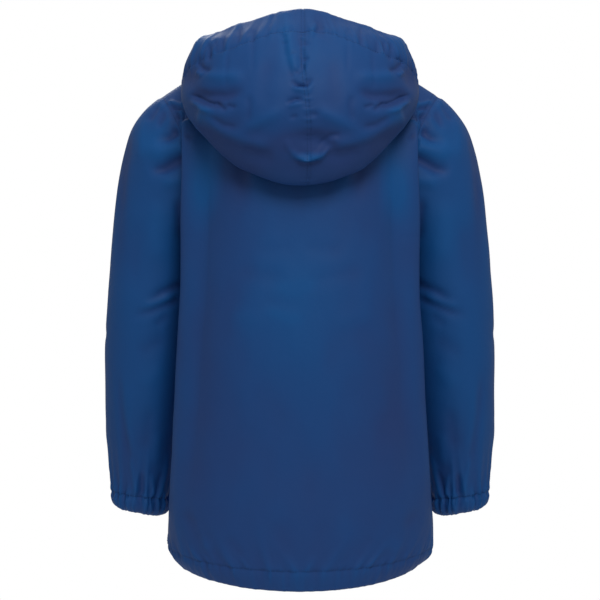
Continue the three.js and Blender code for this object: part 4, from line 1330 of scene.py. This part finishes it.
class Signal:
    """A shader socket that takes part in sums and products."""

    def __init__(self, graph: Graph, socket: bpy.types.NodeSocket) -> None:
        """Keeps the socket and the graph that it is in."""
        self.graph = graph
        self.socket = socket

    def __add__(self, other: Signal | float) -> Signal:
        """This and another, added."""
        return self.graph.math("ADD", self, other)

    def __radd__(self, other: float) -> Signal:
        """A number and this, added."""
        return self.graph.math("ADD", other, self)

    def __sub__(self, other: Signal | float) -> Signal:
        """This less another."""
        return self.graph.math("SUBTRACT", self, other)

    def __rsub__(self, other: float) -> Signal:
        """A number less this."""
        return self.graph.math("SUBTRACT", other, self)

    def __mul__(self, other: Signal | float) -> Signal:
        """This times another."""
        return self.graph.math("MULTIPLY", self, other)

    def __rmul__(self, other: float) -> Signal:
        """A number times this."""
        return self.graph.math("MULTIPLY", other, self)


Value = Signal | float | tuple[float, ...]


class Graph:
    """A material's nodes, from one Principled shader."""

    def __init__(self, name: str) -> None:
        """Starts a material with its shader joined to the output."""
        self.material = bpy.data.materials.new(name)
        self.material.use_nodes = True
        self.nodes = self.material.node_tree.nodes
        self.links = self.material.node_tree.links
        self.shader = next(n for n in self.nodes if n.type == "BSDF_PRINCIPLED")

    def node(
        self,
        kind: str,
        settings: Mapping[str, object] | None = None,
        inputs: Mapping[str | int, Value] | None = None,
    ) -> bpy.types.Node:
        """Adds a node.

        Args:
            kind: The node's type.
            settings: Its own settings, which are set first.
            inputs: Values or signals for its sockets, by name or number.

        Returns:
            The node.
        """
        made = self.nodes.new(kind)
        for name, value in (settings or {}).items():
            setattr(made, name, value)
        for name, value in (inputs or {}).items():
            self.feed(made.inputs[name], value)
        return made

    def feed(self, socket: bpy.types.NodeSocket, value: Value) -> None:
        """Gives a socket a signal or a plain value."""
        if isinstance(value, Signal):
            self.links.new(value.socket, socket)
        else:
            socket.default_value = value

    def out(self, node: bpy.types.Node, output: str | int = 0) -> Signal:
        """One of a node's outputs."""
        return Signal(self, node.outputs[output])

    def math(self, operation: str, a: Signal | float, b: Signal | float = 0.0) -> Signal:
        """A Math node on one or two values."""
        return self.out(self.node("ShaderNodeMath", {"operation": operation}, {0: a, 1: b}))

    def limited(self, value: Signal) -> Signal:
        """A value kept from 0 to 1."""
        return self.out(self.node("ShaderNodeClamp", None, {"Value": value}))

    def place(self) -> Signal:
        """The place on the piece, in metres."""
        return self.out(self.node("ShaderNodeTexCoord"), "Object")

    def noise(self, scale: float, detail: float = 2.0, rough: float = 0.5) -> Signal:
        """Smooth noise on the piece, about 0.5."""
        inputs = {"Vector": self.place(), "Scale": scale, "Detail": detail, "Roughness": rough}
        return self.out(self.node("ShaderNodeTexNoise", None, inputs), "Fac")

    def attribute(self, name: str) -> Signal:
        """A number that the piece's own points carry."""
        return self.out(self.node("ShaderNodeAttribute", {"attribute_name": name}), "Fac")

    def colour(self, factor: Value, first: Value, second: Value) -> Signal:
        """One colour turning into another."""
        inputs = {0: factor, 6: first, 7: second}
        return self.out(self.node("ShaderNodeMix", {"data_type": "RGBA"}, inputs), 2)

    def bump(self, height: Signal, distance: float, strength: float, under: Signal | None = None) -> Signal:
        """A normal from a height in units of the distance, in metres."""
        inputs: dict[str, Value] = {"Height": height, "Distance": distance, "Strength": strength}
        if under is not None:
            inputs["Normal"] = under
        return self.out(self.node("ShaderNodeBump", None, inputs))

    def dress(self, **sockets: Value) -> bpy.types.Material:
        """Sets the shader's sockets, named with _ for a space, and gives the material."""
        for name, value in sockets.items():
            self.feed(self.shader.inputs[name.replace("_", " ")], value)
        return self.material


Colour = tuple[float, float, float, float]


@dataclass(frozen=True)
class Taffeta:
    """Coated taffeta: a tight plain weave with a soft sheen, and a matt coated inner face. Its colour also
    holds painted light and shade over a random mottle.
    """

    name: str = "royal_blue_taffeta"
    blue: Colour = (0.0115, 0.063, 0.222, 1)
    # The purple below is painted shade and the paler blue after it is painted light and highlights; the
    # random mottle mixes both in too
    shade: Colour = (0.0185, 0.050, 0.178, 1)
    light: Colour = (0.0065, 0.080, 0.266, 1)
    inner: Colour = (0.009, 0.036, 0.110, 1)
    roughness: float = 0.56
    thread_pitch: float = 0.00034

    def material(self) -> bpy.types.Material:
        """Makes the cloth's material, with painted shade and painted highlights in its colour."""
        graph = Graph(self.name)
        weave = graph.node("ShaderNodeUVMap", {"uv_map": "weave"})
        parts = graph.node("ShaderNodeSeparateXYZ", None, {0: graph.out(weave)})
        turn = 2 * math.pi / self.thread_pitch
        warp = graph.math("SINE", graph.out(parts, 0) * turn)
        weft = graph.math("SINE", graph.out(parts, 1) * turn)
        threads = warp * weft
        relief = graph.attribute("relief")
        inside = graph.attribute("inside")
        tone = graph.attribute("tone")
        patches = graph.noise(9, 2, 0.55)
        # Painted shade in crease troughs and the painted shade marks, painted highlights on ridges and the
        # painted light marks, over a random mottle
        mottle_and_painted_shade_mask = graph.limited((patches - 0.5) * 1.1 + 0.3 - relief * 0.24 - tone * 0.75)
        mottle_and_painted_light_mask = graph.limited(relief * 0.2 + tone * 0.8 + (patches - 0.55) * 0.5)
        colour = graph.colour(mottle_and_painted_shade_mask, self.blue, self.shade)
        colour = graph.colour(mottle_and_painted_light_mask, colour, self.light)
        colour = graph.colour(inside, colour, self.inner)
        streaks = graph.noise(70, 3, 0.6)
        rough = (streaks - 0.5) * 0.16 + self.roughness + inside * 0.2
        soft = graph.bump(graph.noise(60, 3, 0.6), 0.0007, 0.45)
        crisp = graph.bump(graph.noise(420, 2, 0.5), 0.00012, 0.5, soft)
        woven = graph.bump(threads, 0.00003, 0.35, crisp)
        return graph.dress(
            Base_Color=colour, Roughness=rough, Normal=woven,
            Specular_IOR_Level=0.15,
        )


@dataclass(frozen=True)
class Thread:
    """Polyester sewing thread, a little darker than the cloth."""

    name: str = "royal_blue_thread"
    colour: Colour = (0.006, 0.042, 0.150, 1)
    darker: Colour = (0.004, 0.028, 0.105, 1)

    def material(self) -> bpy.types.Material:
        """Makes the thread's material."""
        graph = Graph(self.name)
        colour = graph.colour(graph.noise(800, 1), self.colour, self.darker)
        return graph.dress(Base_Color=colour, Roughness=0.6, Specular_IOR_Level=0.2)


@dataclass(frozen=True)
class WovenTape:
    """Zip tape: a matt twill that runs up the zip."""

    name: str = "royal_blue_tape"
    colour: Colour = (0.010, 0.050, 0.150, 1)
    darker: Colour = (0.008, 0.034, 0.105, 1)
    rib: float = 0.0009

    def material(self) -> bpy.types.Material:
        """Makes the tape's material."""
        graph = Graph(self.name)
        parts = graph.node("ShaderNodeSeparateXYZ", None, {0: graph.place()})
        turn = 2 * math.pi / self.rib
        slanted = graph.math("SINE", (graph.out(parts, 2) + graph.out(parts, 0) * 1.4) * turn)
        colour = graph.colour(graph.limited(slanted * 0.3 + 0.5), self.darker, self.colour)
        return graph.dress(Base_Color=colour, Roughness=0.82, Normal=graph.bump(slanted, 0.0001, 0.5))


@dataclass(frozen=True)
class Coil:
    """The zip's nylon coil, satin."""

    name: str = "royal_blue_coil"
    colour: Colour = (0.012, 0.058, 0.175, 1)
    darker: Colour = (0.010, 0.044, 0.135, 1)

    def material(self) -> bpy.types.Material:
        """Makes the coil's material."""
        graph = Graph(self.name)
        colour = graph.colour(graph.noise(500, 1), self.colour, self.darker)
        return graph.dress(Base_Color=colour, Roughness=0.6, Specular_IOR_Level=0.12)


@dataclass(frozen=True)
class Enamel:
    """Enamelled zip metal, rubbed a little paler on its edges."""

    name: str = "royal_blue_enamel"
    colour: Colour = (0.016, 0.066, 0.190, 1)
    worn: Colour = (0.06, 0.12, 0.24, 1)

    def material(self) -> bpy.types.Material:
        """Makes the enamel's material."""
        graph = Graph(self.name)
        geometry = graph.node("ShaderNodeNewGeometry")
        edges = graph.limited((graph.out(geometry, "Pointiness") - 0.53) * 9)
        speckle = graph.noise(900, 2)
        colour = graph.colour(edges * speckle, self.colour, self.worn)
        rough = (speckle - 0.5) * 0.12 + 0.5
        return graph.dress(Base_Color=colour, Roughness=rough, Specular_IOR_Level=0.2)


class Layout:
    """A Geometry Nodes tree whose sizes are its named inputs."""

    def __init__(self, name: str) -> None:
        """Starts a tree that takes lines and gives a mesh."""
        self.tree = bpy.data.node_groups.new(name, "GeometryNodeTree")
        self.sizes: dict[str, tuple[str, object]] = {}
        self.tree.interface.new_socket("Lines", in_out="INPUT", socket_type="NodeSocketGeometry")
        self.tree.interface.new_socket("Mesh", in_out="OUTPUT", socket_type="NodeSocketGeometry")
        self.start = self.tree.nodes.new("NodeGroupInput")
        self.end = self.tree.nodes.new("NodeGroupOutput")

    def size(self, name: str, kind: str, value: object) -> bpy.types.NodeSocket:
        """Adds a named input with the value that the modifier gives it."""
        socket = self.tree.interface.new_socket(name, in_out="INPUT", socket_type=kind)
        self.sizes[name] = (socket.identifier, value)
        return self.start.outputs[name]

    def node(
        self,
        kind: str,
        settings: Mapping[str, object] | None = None,
        inputs: Mapping[str | int, object] | None = None,
    ) -> bpy.types.Node:
        """Adds a node with its settings, then its sockets' values or links."""
        made = self.tree.nodes.new(kind)
        for name, value in (settings or {}).items():
            setattr(made, name, value)
        for name, value in (inputs or {}).items():
            if isinstance(value, bpy.types.NodeSocket):
                self.tree.links.new(value, made.inputs[name])
            else:
                made.inputs[name].default_value = value
        return made

    def finish(self, geometry: bpy.types.NodeSocket, material: bpy.types.Material) -> None:
        """Ends the tree: instances become a mesh with smooth faces and a material."""
        dressed = self.size("Finish", "NodeSocketMaterial", material)
        real = self.node("GeometryNodeRealizeInstances", None, {0: geometry})
        rounded = self.node("GeometryNodeSetShadeSmooth", None, {0: real.outputs[0]})
        done = self.node("GeometryNodeSetMaterial", None, {0: rounded.outputs[0], "Material": dressed})
        self.tree.links.new(done.outputs[0], self.end.inputs[0])

    def apply(self, name: str, lines: Sequence[Array]) -> bpy.types.Object:
        """Runs the tree on lines and keeps the plain mesh.

        Args:
            name: The new piece's name.
            lines: The lines' points, in millimetres.

        Returns:
            The piece, with no modifier left on it.
        """
        mesh = bpy.data.meshes.new(name + "_lines")
        starts = np.cumsum([0, *(len(line) for line in lines)])
        edges = [(s + k, s + k + 1) for s, line in zip(starts, lines) for k in range(len(line) - 1)]
        mesh.from_pydata((np.concatenate(list(lines)) * MM).tolist(), edges, [])
        carrier = bpy.data.objects.new(name + "_carrier", mesh)
        bpy.context.scene.collection.objects.link(carrier)
        modifier = carrier.modifiers.new("layout", "NODES")
        modifier.node_group = self.tree
        for identifier, value in self.sizes.values():
            modifier[identifier] = value
        bpy.context.view_layer.update()
        seen = carrier.evaluated_get(bpy.context.evaluated_depsgraph_get())
        plain = bpy.data.meshes.new_from_object(seen)
        plain.name = name
        carrier.modifiers.remove(modifier)
        bpy.data.objects.remove(carrier)
        piece = bpy.data.objects.new(name, plain)
        bpy.context.scene.collection.objects.link(piece)
        return piece


@dataclass
class Stitching:
    """Lockstitch along the seams: a row of short threads that dip into the cloth."""

    pitch: float = 2.9
    length: float = 2.1
    thickness: float = 0.42
    seed: int = 4

    def layout(self, finish: bpy.types.Material) -> Layout:
        """The tree that puts one thread at each step of a line."""
        layout = Layout("stitch_rows")
        pitch = layout.size("Pitch", "NodeSocketFloat", self.pitch * MM)
        length = layout.size("Stitch length", "NodeSocketFloat", self.length * MM)
        thickness = layout.size("Thread thickness", "NodeSocketFloat", self.thickness * MM)
        seed = layout.size("Seed", "NodeSocketInt", self.seed)
        curve = layout.node("GeometryNodeMeshToCurve", None, {0: layout.start.outputs[0]})
        spots = layout.node(
            "GeometryNodeCurveToPoints", {"mode": "LENGTH"}, {0: curve.outputs[0], "Length": pitch},
        )
        bead = layout.node("GeometryNodeMeshUVSphere", None, {"Segments": 6, "Rings": 4, "Radius": 0.5})
        size = layout.node("ShaderNodeCombineXYZ", None, {0: thickness, 1: thickness, 2: length})
        thread = layout.node("GeometryNodeTransform", None, {0: bead.outputs[0], "Scale": size.outputs[0]})
        turned = layout.node(
            "FunctionNodeAlignRotationToVector", {"axis": "Z"}, {"Vector": spots.outputs["Tangent"]},
        )
        uneven = layout.node(
            "FunctionNodeRandomValue", {"data_type": "FLOAT"}, {"Min": 0.86, "Max": 1.08, "Seed": seed},
        )
        uneven.inputs[2].default_value = 0.86
        uneven.inputs[3].default_value = 1.08
        placed = layout.node("GeometryNodeInstanceOnPoints", None, {
            "Points": spots.outputs[0], "Instance": thread.outputs[0],
            "Rotation": turned.outputs[0], "Scale": uneven.outputs[1],
        })
        layout.finish(placed.outputs[0], finish)
        return layout

    def build(self, lines: Sequence[Array], finish: bpy.types.Material) -> None:
        """Sews the lines and dresses them as one piece."""
        piece = self.layout(finish).apply("topstitching", lines)
        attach(piece, "coat")
        LOG.info("topstitching: %d faces", len(piece.data.polygons))


@dataclass
class Zip:
    """The closed zip: a coil of meshed links, with the enamelled slider, pull tab and box."""

    pitch: float = 1.5
    link: tuple[float, float, float] = (3.0, 1.5, 1.15)
    offset: float = 1.35
    depth: float = 1.5
    edge_round: float = 0.22

    def layout(self, finish: bpy.types.Material) -> Layout:
        """The tree that puts links by turns on either side of the middle line."""
        layout = Layout("zip_links")
        step = layout.size("Half pitch", "NodeSocketFloat", self.pitch * MM / 2)
        size = layout.size("Link size", "NodeSocketVector", tuple(s * MM for s in self.link))
        offset = layout.size("Offset", "NodeSocketFloat", self.offset * MM)
        curve = layout.node("GeometryNodeMeshToCurve", None, {0: layout.start.outputs[0]})
        spots = layout.node(
            "GeometryNodeCurveToPoints", {"mode": "LENGTH"}, {0: curve.outputs[0], "Length": step},
        )
        index = layout.node("GeometryNodeInputIndex")
        odd = layout.node("ShaderNodeMath", {"operation": "MODULO"}, {0: index.outputs[0], 1: 2.0})
        side = layout.node(
            "ShaderNodeMath", {"operation": "MULTIPLY_ADD"}, {0: odd.outputs[0], 1: 2.0, 2: -1.0},
        )
        shift = layout.node("ShaderNodeMath", {"operation": "MULTIPLY"}, {0: side.outputs[0], 1: offset})
        aside = layout.node("ShaderNodeCombineXYZ", None, {0: shift.outputs[0]})
        moved = layout.node(
            "GeometryNodeSetPosition", None, {0: spots.outputs[0], "Offset": aside.outputs[0]},
        )
        bead = layout.node("GeometryNodeMeshUVSphere", None, {"Segments": 10, "Rings": 6, "Radius": 0.5})
        link = layout.node("GeometryNodeTransform", None, {0: bead.outputs[0], "Scale": size})
        turned = layout.node(
            "FunctionNodeAlignRotationToVector", {"axis": "Z", "pivot_axis": "X"},
            {"Vector": spots.outputs["Tangent"]},
        )
        placed = layout.node("GeometryNodeInstanceOnPoints", None, {
            "Points": moved.outputs[0], "Instance": link.outputs[0], "Rotation": turned.outputs[0],
        })
        layout.finish(placed.outputs[0], finish)
        return layout

    def build_coil(self, middle: Array, finish: bpy.types.Material) -> None:
        """Makes the coil between the chain's ends."""
        low, high = (corner[2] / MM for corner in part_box("zip_chain"))
        line = middle[(middle[:, 2] >= low + 1) & (middle[:, 2] <= high - 1)]
        inward = unit(np.gradient(line, axis=0))[:, [0, 2, 1]] * np.array([0, 1, -1])
        line = line + inward * self.depth
        piece = self.layout(finish).apply("zip_coil_links", [line])
        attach(piece, "coat")
        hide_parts("zip_chain")
        LOG.info("zip_coil_links: %d faces", len(piece.data.polygons))

    def build_hardware(self, node: str, body: str, finish: bpy.types.Material) -> None:
        """A copy of a metal part with its edges rounded."""
        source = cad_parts[node]
        mesh = source.data.copy()
        mesh.materials.clear()
        mesh.materials.append(finish)
        piece = bpy.data.objects.new(node + "_enamelled", mesh)
        bpy.context.scene.collection.objects.link(piece)
        weld = piece.modifiers.new("weld", "WELD")
        weld.merge_threshold = 1e-6
        bevel = piece.modifiers.new("bevel", "BEVEL")
        bevel.width = self.edge_round * MM
        bevel.segments = 2
        bevel.limit_method = "ANGLE"
        bevel.angle_limit = math.radians(50)
        seen = piece.evaluated_get(bpy.context.evaluated_depsgraph_get())
        plain = bpy.data.meshes.new_from_object(seen)
        piece.modifiers.clear()
        piece.data = plain
        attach(piece, body)
        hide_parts(node)
        LOG.info("%s: %d faces", piece.name, len(plain.polygons))

    def build(self, coat: Coat, tape: bpy.types.Material, coil: bpy.types.Material,
              enamel: bpy.types.Material) -> None:
        """Builds the coil and the metal parts, and dresses the tapes."""
        self.build_coil(coat.middle_front(), coil)
        self.build_hardware("zip_box", "coat", enamel)
        self.build_hardware("zip_slider", "coat", enamel)
        self.build_hardware("zip_pull_tab", "pull_tab", enamel)
        for side in ("left", "right"):
            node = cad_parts[f"zip_tape_{side}"]
            node.data.materials.clear()
            node.data.materials.append(tape)


@dataclass(frozen=True)
class Studio:
    """A pale floor, a white room, soft lights and the camera behind the coat."""

    camera_distance: float = 1.6
    camera_height: float = -0.2614
    lens: float = 88.89
    floor_level: float = -0.72
    floor_radius: float = 0.68
    room: float = 0.4

    def place_camera(self) -> None:
        """The camera looks level along the coat's back, from the photograph's distance."""
        data = bpy.data.cameras.new("camera")
        data.lens = self.lens
        data.sensor_width = 36
        camera = bpy.data.objects.new("camera", data)
        camera.location = (0, self.camera_distance, self.camera_height)
        camera.rotation_euler = (QUARTER, 0, math.pi)
        bpy.context.scene.collection.objects.link(camera)
        bpy.context.scene.camera = camera

    def lay_floor(self) -> None:
        """A round pale floor that fades out at its edge."""
        count = 96
        turn = [2 * math.pi * k / count for k in range(count)]
        corners = [(self.floor_radius * math.cos(a), self.floor_radius * math.sin(a), self.floor_level)
                   for a in turn]
        mesh = bpy.data.meshes.new("floor")
        mesh.from_pydata(corners, [], [list(range(count))])
        floor = bpy.data.objects.new("floor", mesh)
        bpy.context.scene.collection.objects.link(floor)
        graph = Graph("pale_floor")
        flat = graph.node("ShaderNodeVectorMath", {"operation": "MULTIPLY"}, {0: graph.place(), 1: (1, 1, 0)})
        away = graph.node("ShaderNodeVectorMath", {"operation": "LENGTH"}, {0: graph.out(flat)})
        shown = graph.limited((self.floor_radius * 0.95 - graph.out(away, "Value")) * 2.4)
        mesh.materials.append(graph.dress(Base_Color=(0.86, 0.87, 0.88, 1), Roughness=0.9, Alpha=shown))

    def light_room(self) -> None:
        """A white room that the camera sees brighter than the coat does."""
        world = bpy.data.worlds.new("room")
        world.use_nodes = True
        nodes, links = world.node_tree.nodes, world.node_tree.links
        back = next(n for n in nodes if n.type == "BACKGROUND")
        back.inputs["Color"].default_value = (1, 1, 1, 1)
        path = nodes.new("ShaderNodeLightPath")
        level = nodes.new("ShaderNodeMapRange")
        level.inputs["To Min"].default_value = self.room
        level.inputs["To Max"].default_value = 1.0
        links.new(path.outputs["Is Camera Ray"], level.inputs["Value"])
        links.new(level.outputs[0], back.inputs["Strength"])
        bpy.context.scene.world = world

    def hang_light(self, name: str, place: Sequence[float], size: float, power: float,
                   tint: tuple[float, float, float] = (1, 1, 1)) -> None:
        """A soft square light that faces the coat's middle."""
        data = bpy.data.lights.new(name, "AREA")
        data.size = size
        data.energy = power
        data.color = tint
        light = bpy.data.objects.new(name, data)
        light.location = place
        aim = Vector((0, 0, self.camera_height)) - Vector(place)
        light.rotation_euler = aim.to_track_quat("-Z", "Y").to_euler()
        bpy.context.scene.collection.objects.link(light)

    def build(self) -> None:
        """Sets up the whole studio."""
        self.place_camera()
        self.lay_floor()
        self.light_room()
        self.hang_light("over_back", (-0.3, 1.8, 1.15), 0.9, 22)
        self.hang_light("over_front", (0.3, -1.8, 1.15), 0.9, 22)
        self.hang_light("overhead", (0, 0, 1.7), 1.2, 4)
        view = bpy.context.scene.view_settings
        view.view_transform = "Standard"
        view.look = "None"


def main() -> None:
    """Builds the studio, the coat, its stitching and its zip."""
    logging.basicConfig(level=logging.INFO, format="%(name)s %(message)s")
    Studio().build()
    coat = Coat(FORM)
    coat.build(Taffeta().material())
    Stitching().build(coat.stitch_lines(), Thread().material())
    Zip().build(coat, WovenTape().material(), Coil().material(), Enamel().material())


if __name__ == "__main__":
    main()
